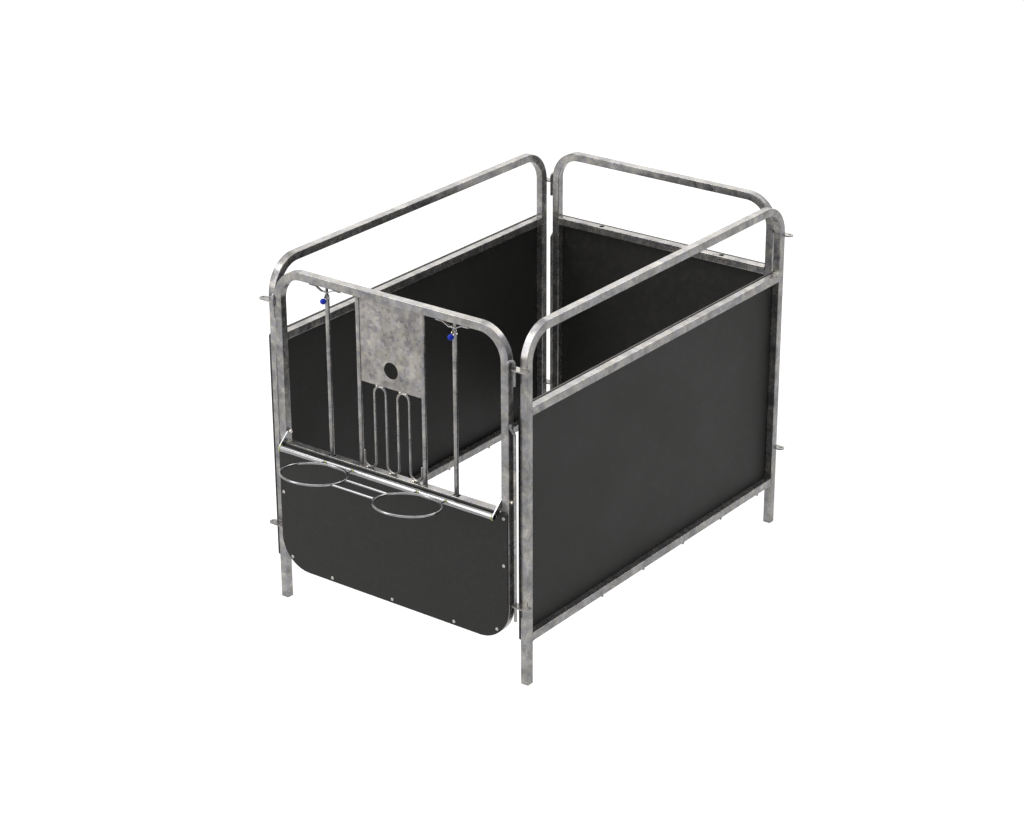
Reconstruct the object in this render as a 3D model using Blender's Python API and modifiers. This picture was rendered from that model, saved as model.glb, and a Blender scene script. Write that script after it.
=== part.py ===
"""Calf pen: two side panels joined by a lift-off gate and a lift-off back panel."""
import math

import bmesh
import bpy
from mathutils import Matrix, Vector

for old in list(bpy.data.objects):
    bpy.data.objects.remove(old)

# Overall sizes in metres. X is 0 at the pen's middle, Y is 0 at the front face of the side
# posts and Z is 0 at the floor. The root empty then moves all of it to the middle of its base.
WIDTH = 1.099
LENGTH = 1.570
HEIGHT = 1.280
TUBE = 0.030
TUBE_WALL = 0.002
TUBE_CORNER = 0.003
BEND = 0.125
BOARD = 0.008
SEAT = 0.0003
BENT_TUBE_STEPS = 8
TOP_RAIL_UNDERSIDE = HEIGHT - TUBE

# Side panels
SIDE_MID_RAIL_TOP = 1.0064
SIDE_LOW_RAIL_TOP = 0.187
SIDE_BOARD_LOWER_LAP = 0.027
SIDE_BOARD_UPPER_LAP = 0.0016
SIDE_BOARD_BOTTOM = SIDE_LOW_RAIL_TOP - SIDE_BOARD_LOWER_LAP
SIDE_BOARD_TOP = SIDE_MID_RAIL_TOP + SIDE_BOARD_UPPER_LAP
SIDE_BOARD_INSET = 0.002
SIDE_BOARD_CORNER = 0.010
DRAIN_HOLE = 0.006
DRAIN_HOLE_Y = 0.130

# Gate and back panel: closed tube loops that stand between the side panels
LOOP_SIDE_GAP = 0.0239
LOOP_HALF_WIDTH = WIDTH / 2 - TUBE - LOOP_SIDE_GAP
LOOP_BOTTOM = 0.158
LOOP_BEND = 0.119
LOOP_GAP = 0.001
LOOP_BOARD_TOP_CORNER = 0.006
VENT_HOLE = 0.008
GATE_Y = -LOOP_GAP - TUBE / 2
BACK_Y = LENGTH + LOOP_GAP + TUBE / 2
GATE_RAIL_TOP = 0.6345
GATE_BOARD_DROP = 0.0005
GATE_BOARD_TOP = GATE_RAIL_TOP - GATE_BOARD_DROP
BACK_RAIL_TOP = 1.008
BACK_RAIL_HOLE_X = 0.271
BACK_RAIL_TOP_HOLE = 0.020
BACK_RAIL_FACE_HOLE = 0.006

# Eye plates and the pins that hang in them
EYE_LENGTH = 0.074
EYE_WIDTH = 0.0312
EYE_THICKNESS = 0.005
EYE_PITCH = 0.048
EYE_HOLE = 0.011
UPPER_EYE_DROP = 0.132
LOWER_EYE_RISE = 0.143
UPPER_EYE_TOP = HEIGHT - UPPER_EYE_DROP
LOWER_EYE_TOP = LOOP_BOTTOM + LOWER_EYE_RISE
EYE_TOPS = {"upper": UPPER_EYE_TOP, "lower": LOWER_EYE_TOP}
PIN_ROD = 0.010
PIN_REACH = 0.063
PIN_X = WIDTH / 2 - TUBE / 2 - EYE_PITCH / 2
HOOK_LEG_OUTSET = 0.0018
HOOK_LEG_SEAT = 0.0043
HOOK_LEG_X = LOOP_HALF_WIDTH + HOOK_LEG_OUTSET
HOOK_LEG_OUT = TUBE / 2 + HOOK_LEG_SEAT
HOOK_ARCH = 0.0115
HOOK_RISE = 0.025
HOOK_SHORT_REACH = 0.013
HOOK_CROWN = UPPER_EYE_TOP + HOOK_RISE
HOOK_SHORT_END = UPPER_EYE_TOP - HOOK_SHORT_REACH
HOOK_LONG_END = UPPER_EYE_TOP - PIN_REACH
LOWER_ROD_DROP = 0.193
LOWER_ROD_SEAT_LENGTH = 0.015
LOWER_ROD_OFFSET_LENGTH = 0.025
LOWER_ROD_TOP = UPPER_EYE_TOP - LOWER_ROD_DROP
LOWER_ROD_UPPER_BEND = LOWER_ROD_TOP - LOWER_ROD_SEAT_LENGTH
LOWER_ROD_LOWER_BEND = LOWER_ROD_UPPER_BEND - LOWER_ROD_OFFSET_LENGTH
LOWER_ROD_BEND_RADIUS = 0.012
LOWER_ROD_TOP_OUT = PIN_ROD
LOWER_ROD_BOTTOM = LOWER_EYE_TOP - PIN_REACH

# Bars, teat plate and wire in the gate's upper field
FIXED_BAR = 0.016
FIXED_BAR_X = 0.1375
SWING_BAR = 0.016
SWING_BAR_INSET = 0.2256
SWING_BAR_X = LOOP_HALF_WIDTH - SWING_BAR_INSET
SWING_BAR_GAP = 0.028
SWING_BAR_FOOT = 0.0085
SWING_BAR_TOP = TOP_RAIL_UNDERSIDE - SWING_BAR_GAP
SWING_PIVOT_Z = GATE_RAIL_TOP - TUBE / 2
SWING_BAR_BOTTOM = SWING_PIVOT_Z - SWING_BAR_FOOT
SWING_PIN = 0.006
SWING_PIN_HEAD = 0.012
SWING_PIN_HEAD_HEIGHT = 0.003
RAIL_SLOT_LENGTH = 0.026
RAIL_SLOT_CLEARANCE = 0.001
RAIL_SLOT_WIDTH = SWING_BAR + RAIL_SLOT_CLEARANCE
TEAT_PLATE_CLEARANCE = 0.001
TEAT_PLATE_HALF = FIXED_BAR_X - FIXED_BAR / 2 - TEAT_PLATE_CLEARANCE
TEAT_PLATE_HEIGHT = 0.3027
TEAT_PLATE_TOP = TOP_RAIL_UNDERSIDE - SEAT
TEAT_PLATE_BOTTOM = TEAT_PLATE_TOP - TEAT_PLATE_HEIGHT
TEAT_PLATE_THICKNESS = 0.003
TEAT_HOLE = 0.060
TEAT_HOLE_RISE = 0.065
TEAT_HOLE_Z = TEAT_PLATE_BOTTOM + TEAT_HOLE_RISE
SMALL_HOLE = 0.006
SMALL_HOLE_PITCH = 0.050
SMALL_HOLE_DROP = 0.0527
SMALL_HOLE_Z = TEAT_PLATE_TOP - SMALL_HOLE_DROP
WIRE = 0.008
WIRE_CROWN = TEAT_PLATE_BOTTOM - SEAT * 2 - WIRE / 2
WIRE_FLOOR = GATE_RAIL_TOP + SEAT + WIRE / 2
WIRE_STUB = 0.060
WIRE_STUB_TOP = GATE_RAIL_TOP + WIRE_STUB
WIRE_LEG_INNER = 0.025
WIRE_LEG_MIDDLE = 0.0745
WIRE_LEG_OUTER = 0.1245
WIRE_BEND = 0.0245

# Guide strap and latch at the top of each swing bar
GUIDE_CLEARANCE = 0.0055
GUIDE_BACK = GATE_Y - GUIDE_CLEARANCE
GUIDE_FRONT = GATE_Y - TUBE / 2
GUIDE_THICKNESS = 0.0035
GUIDE_DROP = 0.0165
GUIDE_BOTTOM = TOP_RAIL_UNDERSIDE - GUIDE_DROP
GUIDE_FLAT = 0.015
GUIDE_SLOPE_END = 0.040
GUIDE_END = 0.066
NOTCH_WIDTH = 0.006
NOTCH_DEPTH = 0.0047
LATCH_DROP = 0.039
LATCH_Z = TOP_RAIL_UNDERSIDE - LATCH_DROP
LATCH_THICKNESS = 0.005
LATCH_TONGUE = 0.036
LATCH_BOLT = 0.006
LATCH_BOLT_HEAD = 0.010
LATCH_BOLT_END = 0.0025
FORK_DEPTH = 0.026
BALL = 0.021
BALL_FORWARD = 0.0205
BALL_DROP = 0.0075

# Bucket holder
HOLDER_RISE = 0.039
HOLDER_Z = GATE_RAIL_TOP + HOLDER_RISE
ARM_THICKNESS = 0.005
ARM_WIDTH = 0.022
HOLDER_ARM_X = LOOP_HALF_WIDTH - TUBE - SEAT - ARM_THICKNESS
HOLDER_TUBE = 0.022
ARM_FORWARD = 0.0504
ARM_DROP = 0.0454
HOLDER_TUBE_Y = GATE_Y - ARM_FORWARD
HOLDER_TUBE_Z = HOLDER_Z - ARM_DROP
ARM_TUBE_HOLE = 0.016
RING_RADIUS = 0.113
RING_INSET = 0.2946
RING_SIDE_SHIFT = 0.008
RING_FORWARD = 0.1343
RING_RISE = 0.0241
RING_HALF_PITCH = LOOP_HALF_WIDTH - RING_INSET
RING_X = (RING_SIDE_SHIFT - RING_HALF_PITCH, RING_SIDE_SHIFT + RING_HALF_PITCH)
RING_Y = HOLDER_TUBE_Y - RING_FORWARD
RING_Z = HOLDER_TUBE_Z + RING_RISE
RING_TILT = math.radians(7.5)
STUB_OFFSET = 0.0605
STUB_LAP = 0.0101
STUB_END_Y = HOLDER_TUBE_Y - STUB_LAP
LINK_OFFSET = 0.035
PIVOT_BOLT = 0.008
PIVOT_HEAD = 0.015
PIVOT_HEAD_HEIGHT = 0.007
PIVOT_NUT_HEIGHT = 0.0065
PIVOT_BOLT_TAIL = 0.0088
PIVOT_BOLT_END = LOOP_HALF_WIDTH + PIVOT_BOLT_TAIL
STOP_BOLT = 0.010
STOP_BOLT_LENGTH = 0.0073
STOP_FORWARD = 0.0113
STOP_DROP = 0.0324
STOP_BOLT_Y = GATE_Y - STOP_FORWARD
STOP_BOLT_Z = HOLDER_Z - STOP_DROP

FRONT = RING_Y - RING_RADIUS * math.cos(RING_TILT) - WIRE / 2
REAR = BACK_Y + HOOK_LEG_OUT + PIN_ROD / 2
SIGNS = {"left": -1, "right": 1}
FACING = {"X": (math.pi / 2, 0, math.pi / 2), "Y": (math.pi / 2, 0, 0), "Z": (0, 0, 0)}

pen = bpy.data.collections.new("calf_pen")
cutters = bpy.data.collections.new("cutters")
bpy.context.scene.collection.children.link(pen)
bpy.context.scene.collection.children.link(cutters)


# Materials

def make_material(name, colour, roughness, metallic):
    """A plain surface of one colour."""
    material = bpy.data.materials.new(name)
    material.use_nodes = True
    shader = material.node_tree.nodes["Principled BSDF"]
    shader.inputs["Base Color"].default_value = (*colour, 1.0)
    shader.inputs["Roughness"].default_value = roughness
    shader.inputs["Metallic"].default_value = metallic
    return material


galvanised = make_material("galvanised_tube", (0.34, 0.34, 0.34), 0.45, 0.85)
bright_zinc = make_material("bright_zinc", (0.46, 0.47, 0.48), 0.38, 0.9)
spangled = make_material("spangled_sheet", (0.38, 0.39, 0.40), 0.42, 0.85)
board_black = make_material("black_board", (0.030, 0.031, 0.033), 0.55, 0.0)
ball_blue = make_material("blue_plastic", (0.012, 0.035, 0.50), 0.35, 0.0)
bolt_zinc = make_material("zinc_bolt", (0.52, 0.52, 0.50), 0.35, 0.9)


# Groups: one empty for the whole pen and one on the axis of each joint

ORIGINS = {}


def add_group(name, origin, parent=None):
    """An empty at a place in the pen's frame, for the pieces that move with it."""
    group = bpy.data.objects.new(name, None)
    pen.objects.link(group)
    ORIGINS[name] = Vector(origin)
    if parent:
        place(group, parent, origin)
    return group


def place(item, parent, centre):
    """Hang an item on its group, at a place in the pen's frame."""
    item.parent = parent
    item.location = Vector(centre) - ORIGINS[parent.name]


root = add_group("calf_pen_root", (0, 0, 0))
root.location.y = -(FRONT + REAR) / 2
gate_group = add_group("gate_group", (0, GATE_Y, LOOP_BOTTOM), root)
back_group = add_group("back_group", (0, BACK_Y, LOOP_BOTTOM), root)
holder_group = add_group("holder_group", (0, GATE_Y, HOLDER_Z), gate_group)
bar_groups = {}
latch_groups = {}
for side, sign in SIGNS.items():
    bar_x = sign * SWING_BAR_X
    bar_groups[side] = add_group(side + "_bar_group", (bar_x, GATE_Y, SWING_PIVOT_Z), gate_group)
    latch_groups[side] = add_group(side + "_latch_group", (bar_x, GATE_Y, LATCH_Z), bar_groups[side])


# Outlines and paths

def circle(radius, sides=16, centre=(0, 0)):
    """Corner points of a round outline."""
    turns = [2 * math.pi * step / sides for step in range(sides)]
    return [(centre[0] + radius * math.cos(a), centre[1] + radius * math.sin(a)) for a in turns]


def rounded_path(corners, radii, steps, closed=False):
    """Points of a path whose corners are arcs, with one radius for each corner."""
    corners = [Vector(corner).to_3d() for corner in corners]
    count = len(corners)
    turns = range(count) if closed else range(1, count - 1)
    points = [] if closed else [corners[0]]
    for index, radius in zip(turns, radii):
        corner = corners[index]
        back = (corners[index - 1] - corner).normalized()
        ahead = (corners[(index + 1) % count] - corner).normalized()
        half = back.angle(ahead) / 2
        centre = corner + (back + ahead).normalized() * radius / math.sin(half)
        first = corner + back * radius / math.tan(half) - centre
        axis = first.cross(-back)
        for step in range(steps + 1):
            turn = Matrix.Rotation((math.pi - 2 * half) * step / steps, 3, axis)
            points.append(centre + turn @ first)
    if not closed:
        points.append(corners[-1])
    return points


def rectangle(low, high, radii, steps=6):
    """A rectangle with rounded corners, counted from the low corner."""
    corners = [low, (high[0], low[1]), high, (low[0], high[1])]
    return [point.xy[:] for point in rounded_path(corners, radii, steps, closed=True)]


def stadium(start, end, width, steps=12):
    """A flat bar's outline between two end centres."""
    start = Vector(start)
    end = Vector(end)
    heading = math.atan2(end.y - start.y, end.x - start.x)
    points = []
    for centre, facing in ((end, heading), (start, heading + math.pi)):
        for step in range(steps + 1):
            angle = facing - math.pi / 2 + math.pi * step / steps
            points.append((centre.x + width / 2 * math.cos(angle),
                           centre.y + width / 2 * math.sin(angle)))
    return points


# Ways of making a piece

def add_spline(data, points, closed):
    """Add a path of straight steps to a curve."""
    spline = data.splines.new("POLY")
    spline.points.add(len(points) - 1)
    for target, point in zip(spline.points, points):
        target.co = (*Vector(point).to_3d(), 1.0)
    spline.use_cyclic_u = closed


def flat_piece(name, outlines, thickness, centre, facing, material, parent):
    """A plate cut to its outlines: the first is its edge and any others are holes."""
    data = bpy.data.curves.new(name, "CURVE")
    data.dimensions = "2D"
    data.fill_mode = "BOTH"
    data.extrude = thickness / 2
    for outline in outlines:
        add_spline(data, outline, True)
    item = bpy.data.objects.new(name, data)
    data.materials.append(material)
    pen.objects.link(item)
    item.rotation_euler = FACING[facing]
    place(item, parent, centre)
    return item


def rod(name, points, diameter, material, parent, sides=12):
    """A round bar along a path, with flat ends."""
    data = bpy.data.curves.new(name, "CURVE")
    data.dimensions = "3D"
    data.bevel_depth = diameter / 2
    data.bevel_resolution = (sides - 4) // 2
    data.use_fill_caps = True
    add_spline(data, points, False)
    data.splines[0].use_smooth = True
    data.materials.append(material)
    item = bpy.data.objects.new(name, data)
    pen.objects.link(item)
    place(item, parent, (0, 0, 0))
    return item


def smooth_rounds(mesh):
    """Smooth shading that keeps the corners crisp."""
    mesh.shade_smooth()
    mesh.set_sharp_from_angle(angle=math.radians(35))


def square_tube(name, points, closed, material, parent):
    """A square tube along a path: its skin is swept first and its wall thickened inwards."""
    outline = bpy.data.curves.new(name + "_section", "CURVE")
    outline.dimensions = "2D"
    half = TUBE / 2
    add_spline(outline, rectangle((-half, -half), (half, half), (TUBE_CORNER,) * 4, 2), True)
    section = bpy.data.objects.new(name + "_section", outline)
    path = bpy.data.curves.new(name + "_path", "CURVE")
    path.dimensions = "3D"
    path.bevel_mode = "OBJECT"
    path.bevel_object = section
    add_spline(path, points, closed)
    sweep = bpy.data.objects.new(name + "_path", path)
    pen.objects.link(section)
    pen.objects.link(sweep)
    graph = bpy.context.evaluated_depsgraph_get()
    mesh = bpy.data.meshes.new_from_object(sweep.evaluated_get(graph))
    bpy.data.objects.remove(sweep)
    bpy.data.objects.remove(section)
    weld(mesh)
    mesh.name = name
    mesh.materials.clear()
    mesh.materials.append(material)
    smooth_rounds(mesh)
    item = bpy.data.objects.new(name, mesh)
    pen.objects.link(item)
    place(item, parent, (0, 0, 0))
    wall = item.modifiers.new("wall", "SOLIDIFY")
    wall.thickness = TUBE_WALL
    wall.offset = -1
    wall.use_even_offset = True
    return item


def weld(mesh):
    """Join coincident points and turn every face outwards."""
    work = bmesh.new()
    work.from_mesh(mesh)
    bmesh.ops.remove_doubles(work, verts=work.verts, dist=0.00001)
    bmesh.ops.recalc_face_normals(work, faces=work.faces)
    work.to_mesh(mesh)
    work.free()


def prism(name, outline, length, centre, facing, material=None, parent=None):
    """A solid of one outline, centred on a place and facing along an axis."""
    work = bmesh.new()
    base = work.faces.new([work.verts.new((*point, -length / 2)) for point in outline])
    raised = bmesh.ops.extrude_face_region(work, geom=[base])
    tops = [part for part in raised["geom"] if isinstance(part, bmesh.types.BMVert)]
    bmesh.ops.translate(work, verts=tops, vec=(0, 0, length))
    bmesh.ops.recalc_face_normals(work, faces=work.faces)
    mesh = bpy.data.meshes.new(name)
    work.to_mesh(mesh)
    work.free()
    item = bpy.data.objects.new(name, mesh)
    item.rotation_euler = FACING[facing]
    if material:
        mesh.materials.append(material)
        smooth_rounds(mesh)
        pen.objects.link(item)
    else:
        item.hide_render = True
        item.display_type = "WIRE"
        cutters.objects.link(item)
    place(item, parent or root, centre)
    return item


def combine(item, tool, operation="DIFFERENCE"):
    """Cut a tool out of an item, or join it on."""
    step = item.modifiers.new(tool.name, "BOOLEAN")
    step.operation = operation
    step.solver = "EXACT"
    step.object = tool


def cut_hole(item, name, diameter, length, centre, facing, sides=16):
    """Cut a round hole along an axis."""
    combine(item, prism(name, circle(diameter / 2, sides), length, centre, facing))


# Side panels

def side_frame(side, x):
    """An inverted U of square tube that stands on its two legs."""
    half = TUBE / 2
    corners = [(x, half, 0), (x, half, HEIGHT - half)]
    corners += [(x, LENGTH - half, HEIGHT - half), (x, LENGTH - half, 0)]
    points = rounded_path(corners, (BEND - half,) * 2, BENT_TUBE_STEPS)
    square_tube(side + "_side_frame", points, False, galvanised, root)


def side_rail(side, level, x, top):
    """A straight tube between the two legs."""
    z = top - TUBE / 2
    ends = [(x, TUBE + SEAT, z), (x, LENGTH - TUBE - SEAT, z)]
    return square_tube(side + "_side_" + level + "_rail", ends, False, galvanised, root)


def side_board(side, x):
    """The solid lower board, on the same face of both side panels."""
    low = (SIDE_BOARD_INSET, SIDE_BOARD_BOTTOM)
    high = (LENGTH - SIDE_BOARD_INSET, SIDE_BOARD_TOP)
    centre = (x - TUBE / 2 - SEAT - BOARD / 2, 0, 0)
    outline = rectangle(low, high, (SIDE_BOARD_CORNER,) * 4, 4)
    flat_piece(side + "_side_board", [outline], BOARD, centre, "X", board_black, root)


def eye_plate(name, x, y, top):
    """A flat bar with two eyes: the inner one for this pen and the outer for the next."""
    reach = (EYE_LENGTH - EYE_WIDTH) / 2
    edge = stadium((-reach, 0), (reach, 0), EYE_WIDTH)
    eyes = [circle(EYE_HOLE / 2, 16, (sign * EYE_PITCH / 2, 0)) for sign in (-1, 1)]
    centre = (x, y, top - EYE_THICKNESS / 2)
    flat_piece(name, [edge, *eyes], EYE_THICKNESS, centre, "Z", galvanised, root)


for side, sign in SIGNS.items():
    post_x = sign * (WIDTH - TUBE) / 2
    side_frame(side, post_x)
    side_rail(side, "mid", post_x, SIDE_MID_RAIL_TOP)
    low_rail = side_rail(side, "low", post_x, SIDE_LOW_RAIL_TOP)
    drain = (post_x, DRAIN_HOLE_Y, SIDE_LOW_RAIL_TOP)
    cut_hole(low_rail, side + "_drain_cutter", DRAIN_HOLE, 2 * DRAIN_HOLE, drain, "Z", 12)
    side_board(side, post_x)
    for level, top in EYE_TOPS.items():
        eye_plate(side + "_front_" + level + "_eye", post_x, GATE_Y, top)
        eye_plate(side + "_rear_" + level + "_eye", post_x, BACK_Y, top)


# Gate and back panel

def loop_frame(name, y, parent):
    """A closed loop of square tube with a vent hole for the galvanising bath."""
    x = LOOP_HALF_WIDTH - TUBE / 2
    low = LOOP_BOTTOM + TUBE / 2
    high = HEIGHT - TUBE / 2
    corners = [(-x, y, low), (x, y, low), (x, y, high), (-x, y, high)]
    points = rounded_path(corners, (LOOP_BEND - TUBE / 2,) * 4, BENT_TUBE_STEPS, closed=True)
    frame = square_tube(name, points, True, galvanised, parent)
    vent = (0, y, LOOP_BOTTOM)
    cut_hole(frame, name + "_vent_cutter", VENT_HOLE, VENT_HOLE, vent, "Z", 12)
    return frame


def loop_rail(name, y, top, parent):
    """A straight tube between the loop's two posts."""
    reach = LOOP_HALF_WIDTH - TUBE - SEAT
    z = top - TUBE / 2
    return square_tube(name, [(-reach, y, z), (reach, y, z)], False, galvanised, parent)


def loop_board(name, y, top, parent):
    """The solid lower board, cut to the loop's own outline."""
    low = (-LOOP_HALF_WIDTH, LOOP_BOTTOM)
    high = (LOOP_HALF_WIDTH, top)
    corner = LOOP_BOARD_TOP_CORNER
    outline = rectangle(low, high, (LOOP_BEND, LOOP_BEND, corner, corner), 8)
    flat_piece(name, [outline], BOARD, (0, y, 0), "Y", board_black, parent)


def upper_hook(name, sign, plane, outward, parent):
    """An arch of round bar from the loop's post over into the upper eye."""
    leg_x = sign * PIN_X
    seat_x = sign * HOOK_LEG_X
    seat_y = plane + outward * HOOK_LEG_OUT
    corners = [(leg_x, plane, HOOK_LONG_END), (leg_x, plane, HOOK_CROWN)]
    corners += [(seat_x, seat_y, HOOK_CROWN), (seat_x, seat_y, HOOK_SHORT_END)]
    rod(name, rounded_path(corners, (HOOK_ARCH, HOOK_ARCH), 5), PIN_ROD, galvanised, parent)


def lower_rod(name, sign, plane, outward, parent):
    """A long bar from the loop's post down into the lower eye."""
    leg_x = sign * PIN_X
    seat_x = sign * (LOOP_HALF_WIDTH + SEAT + PIN_ROD / 2)
    seat_y = plane + outward * LOWER_ROD_TOP_OUT
    corners = [(seat_x, seat_y, LOWER_ROD_TOP), (seat_x, seat_y, LOWER_ROD_UPPER_BEND)]
    corners += [(leg_x, plane, LOWER_ROD_LOWER_BEND), (leg_x, plane, LOWER_ROD_BOTTOM)]
    points = rounded_path(corners, (LOWER_ROD_BEND_RADIUS,) * 2, 2)
    rod(name, points, PIN_ROD, galvanised, parent)


gate_frame = loop_frame("gate_frame", GATE_Y, gate_group)
gate_rail = loop_rail("gate_mid_rail", GATE_Y, GATE_RAIL_TOP, gate_group)
gate_board_y = GATE_Y - TUBE / 2 - SEAT - BOARD / 2
loop_board("gate_board", gate_board_y, GATE_BOARD_TOP, gate_group)
loop_frame("back_frame", BACK_Y, back_group)
back_rail = loop_rail("back_mid_rail", BACK_Y, BACK_RAIL_TOP, back_group)
back_board_y = BACK_Y + TUBE / 2 + SEAT + BOARD / 2
loop_board("back_board", back_board_y, BACK_RAIL_TOP, back_group)
for side, sign in SIGNS.items():
    upper_hook(side + "_gate_hook", sign, GATE_Y, -1, gate_group)
    lower_rod(side + "_gate_rod", sign, GATE_Y, -1, gate_group)
    upper_hook(side + "_back_hook", sign, BACK_Y, 1, back_group)
    lower_rod(side + "_back_rod", sign, BACK_Y, 1, back_group)
    hole_x = sign * BACK_RAIL_HOLE_X
    top_hole = (hole_x, BACK_Y, BACK_RAIL_TOP)
    face_hole = (hole_x, BACK_Y - TUBE / 2, BACK_RAIL_TOP - TUBE / 2)
    cut_hole(back_rail, side + "_top_cutter", BACK_RAIL_TOP_HOLE, TUBE / 3, top_hole, "Z", 20)
    cut_hole(back_rail, side + "_face_cutter", BACK_RAIL_FACE_HOLE, TUBE / 3, face_hole, "Y", 12)


# Fixed bars, teat plate and wire

def fixed_bar(side, sign):
    """A round bar from the mid rail to the top rail."""
    x = sign * FIXED_BAR_X
    ends = [(x, GATE_Y, GATE_RAIL_TOP + SEAT), (x, GATE_Y, TOP_RAIL_UNDERSIDE - SEAT)]
    rod(side + "_fixed_bar", ends, FIXED_BAR, galvanised, gate_group, 16)


def teat_plate():
    """The sheet between the fixed bars, with a large hole for a feeding teat."""
    low = (-TEAT_PLATE_HALF, TEAT_PLATE_BOTTOM)
    high = (TEAT_PLATE_HALF, TEAT_PLATE_TOP)
    edge = rectangle(low, high, (TEAT_PLATE_THICKNESS / 3,) * 4, 1)
    teat = circle(TEAT_HOLE / 2, 32, (0, TEAT_HOLE_Z))
    places = [(step * SMALL_HOLE_PITCH, SMALL_HOLE_Z) for step in (-1, 0, 1)]
    small = [circle(SMALL_HOLE / 2, 8, place) for place in places]
    centre = (0, GATE_Y, 0)
    outlines = [edge, teat, *small]
    flat_piece("teat_plate", outlines, TEAT_PLATE_THICKNESS, centre, "Y", spangled, gate_group)


def zigzag_wire():
    """One wire bent to and fro below the teat plate."""
    inner = WIRE_LEG_INNER
    middle = WIRE_LEG_MIDDLE
    outer = WIRE_LEG_OUTER
    floor = WIRE_FLOOR
    turns = [(-outer, WIRE_STUB_TOP), (-outer, floor), (-middle, floor), (-middle, WIRE_CROWN)]
    turns += [(-inner, WIRE_CROWN), (-inner, floor), (inner, floor), (inner, WIRE_CROWN)]
    turns += [(middle, WIRE_CROWN), (middle, floor), (outer, floor), (outer, WIRE_STUB_TOP)]
    corners = [(x, GATE_Y, z) for x, z in turns]
    points = rounded_path(corners, (WIRE_BEND,) * 10, 6)
    rod("zigzag_wire", points, WIRE, galvanised, gate_group)


teat_plate()
zigzag_wire()
for side, sign in SIGNS.items():
    fixed_bar(side, sign)


# Swing bars

def rail_slot(side, x):
    """The slot in the gate's mid rail that a swing bar's foot tips in."""
    half_length = RAIL_SLOT_LENGTH / 2
    half_width = RAIL_SLOT_WIDTH / 2
    corner = half_width / 2
    outline = rectangle((-half_length, -half_width), (half_length, half_width), (corner,) * 4, 3)
    top = (x, GATE_Y, GATE_RAIL_TOP)
    combine(gate_rail, prism(side + "_slot_cutter", outline, TUBE / 3, top, "Z"))
    pivot = (x, GATE_Y, SWING_PIVOT_Z)
    diameter = SWING_PIN + 2 * SEAT
    cut_hole(gate_rail, side + "_rail_pivot_cutter", diameter, 2 * TUBE, pivot, "Y")


def swing_bar(side, x):
    """A round bar with a pivot hole at its foot and a fork for the latch at its top."""
    length = SWING_BAR_TOP - SWING_BAR_BOTTOM
    centre = (x, GATE_Y, (SWING_BAR_TOP + SWING_BAR_BOTTOM) / 2)
    outline = circle(SWING_BAR / 2, 20)
    bar = prism(side + "_swing_bar", outline, length, centre, "Z", galvanised, bar_groups[side])
    pivot = (x, GATE_Y, SWING_PIVOT_Z)
    cut_hole(bar, side + "_bar_pivot_cutter", SWING_PIN + 2 * SEAT, TUBE, pivot, "Y")
    half_gap = LATCH_THICKNESS / 2 + SEAT
    slot = rectangle((-half_gap, -SWING_BAR), (half_gap, SWING_BAR), (SEAT,) * 4, 1)
    mouth = (x, GATE_Y, SWING_BAR_TOP)
    combine(bar, prism(side + "_fork_cutter", slot, 2 * FORK_DEPTH, mouth, "Z"))
    latch = (x, GATE_Y, LATCH_Z)
    cut_hole(bar, side + "_bar_latch_cutter", LATCH_BOLT + 2 * SEAT, TUBE, latch, "X")


def headed_pin(name, profile, centre, rotation, material, parent):
    """A round pin turned from a half profile of radius and height."""
    mesh = bpy.data.meshes.new(name)
    points = [(radius, 0, height) for radius, height in profile]
    edges = [(index, index + 1) for index in range(len(points) - 1)]
    mesh.from_pydata(points, edges, [])
    mesh.materials.append(material)
    item = bpy.data.objects.new(name, mesh)
    pen.objects.link(item)
    turn = item.modifiers.new("turn", "SCREW")
    turn.axis = "Z"
    turn.angle = 2 * math.pi
    turn.steps = 16
    turn.render_steps = 16
    turn.use_merge_vertices = True
    turn.merge_threshold = 0.00001
    turn.use_normal_flip = True
    turn.use_smooth_shade = False
    item.rotation_euler = rotation
    place(item, parent, centre)
    return item


def bar_pin(side, x):
    """The pin through the rail that a swing bar tips on, put in from behind."""
    shank = SWING_PIN / 2
    reach = TUBE - SEAT
    head = SWING_PIN_HEAD / 2
    top = reach + SWING_PIN_HEAD_HEIGHT
    profile = [(0, 0), (shank, 0), (shank, reach), (head, reach), (head, top), (0, top)]
    centre = (x, GATE_Y + TUBE / 2 + SEAT - reach, SWING_PIVOT_Z)
    turn = (-math.pi / 2, 0, 0)
    headed_pin(side + "_bar_pin", profile, centre, turn, bolt_zinc, gate_group)


for side, sign in SIGNS.items():
    bar_x = sign * SWING_BAR_X
    rail_slot(side, bar_x)
    swing_bar(side, bar_x)
    bar_pin(side, bar_x)


# Guides and latches

def guide_strap(side, x):
    """A cranked strap under the top rail, with a notch that the latch drops into."""
    top = TOP_RAIL_UNDERSIDE - SEAT
    low = GUIDE_BOTTOM
    shoulder = top - GUIDE_THICKNESS
    lean = GUIDE_THICKNESS / 3
    right = [(GUIDE_FLAT, low), (GUIDE_SLOPE_END - lean, shoulder), (GUIDE_END, shoulder)]
    right += [(GUIDE_END, top), (GUIDE_SLOPE_END, top), (GUIDE_FLAT + lean, low + GUIDE_THICKNESS)]
    outline = right + [(-u, v) for u, v in reversed(right)]
    depth = GUIDE_BACK - GUIDE_FRONT
    centre = (x, (GUIDE_BACK + GUIDE_FRONT) / 2, 0)
    strap = prism(side + "_guide", outline, depth, centre, "Y", galvanised, gate_group)
    half = NOTCH_WIDTH / 2
    notch = rectangle((-half, -NOTCH_DEPTH), (half, NOTCH_DEPTH), (SEAT,) * 4, 1)
    notch_place = (x, GUIDE_BACK, low)
    combine(strap, prism(side + "_notch_cutter", notch, 4 * GUIDE_THICKNESS, notch_place, "Z"))


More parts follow.
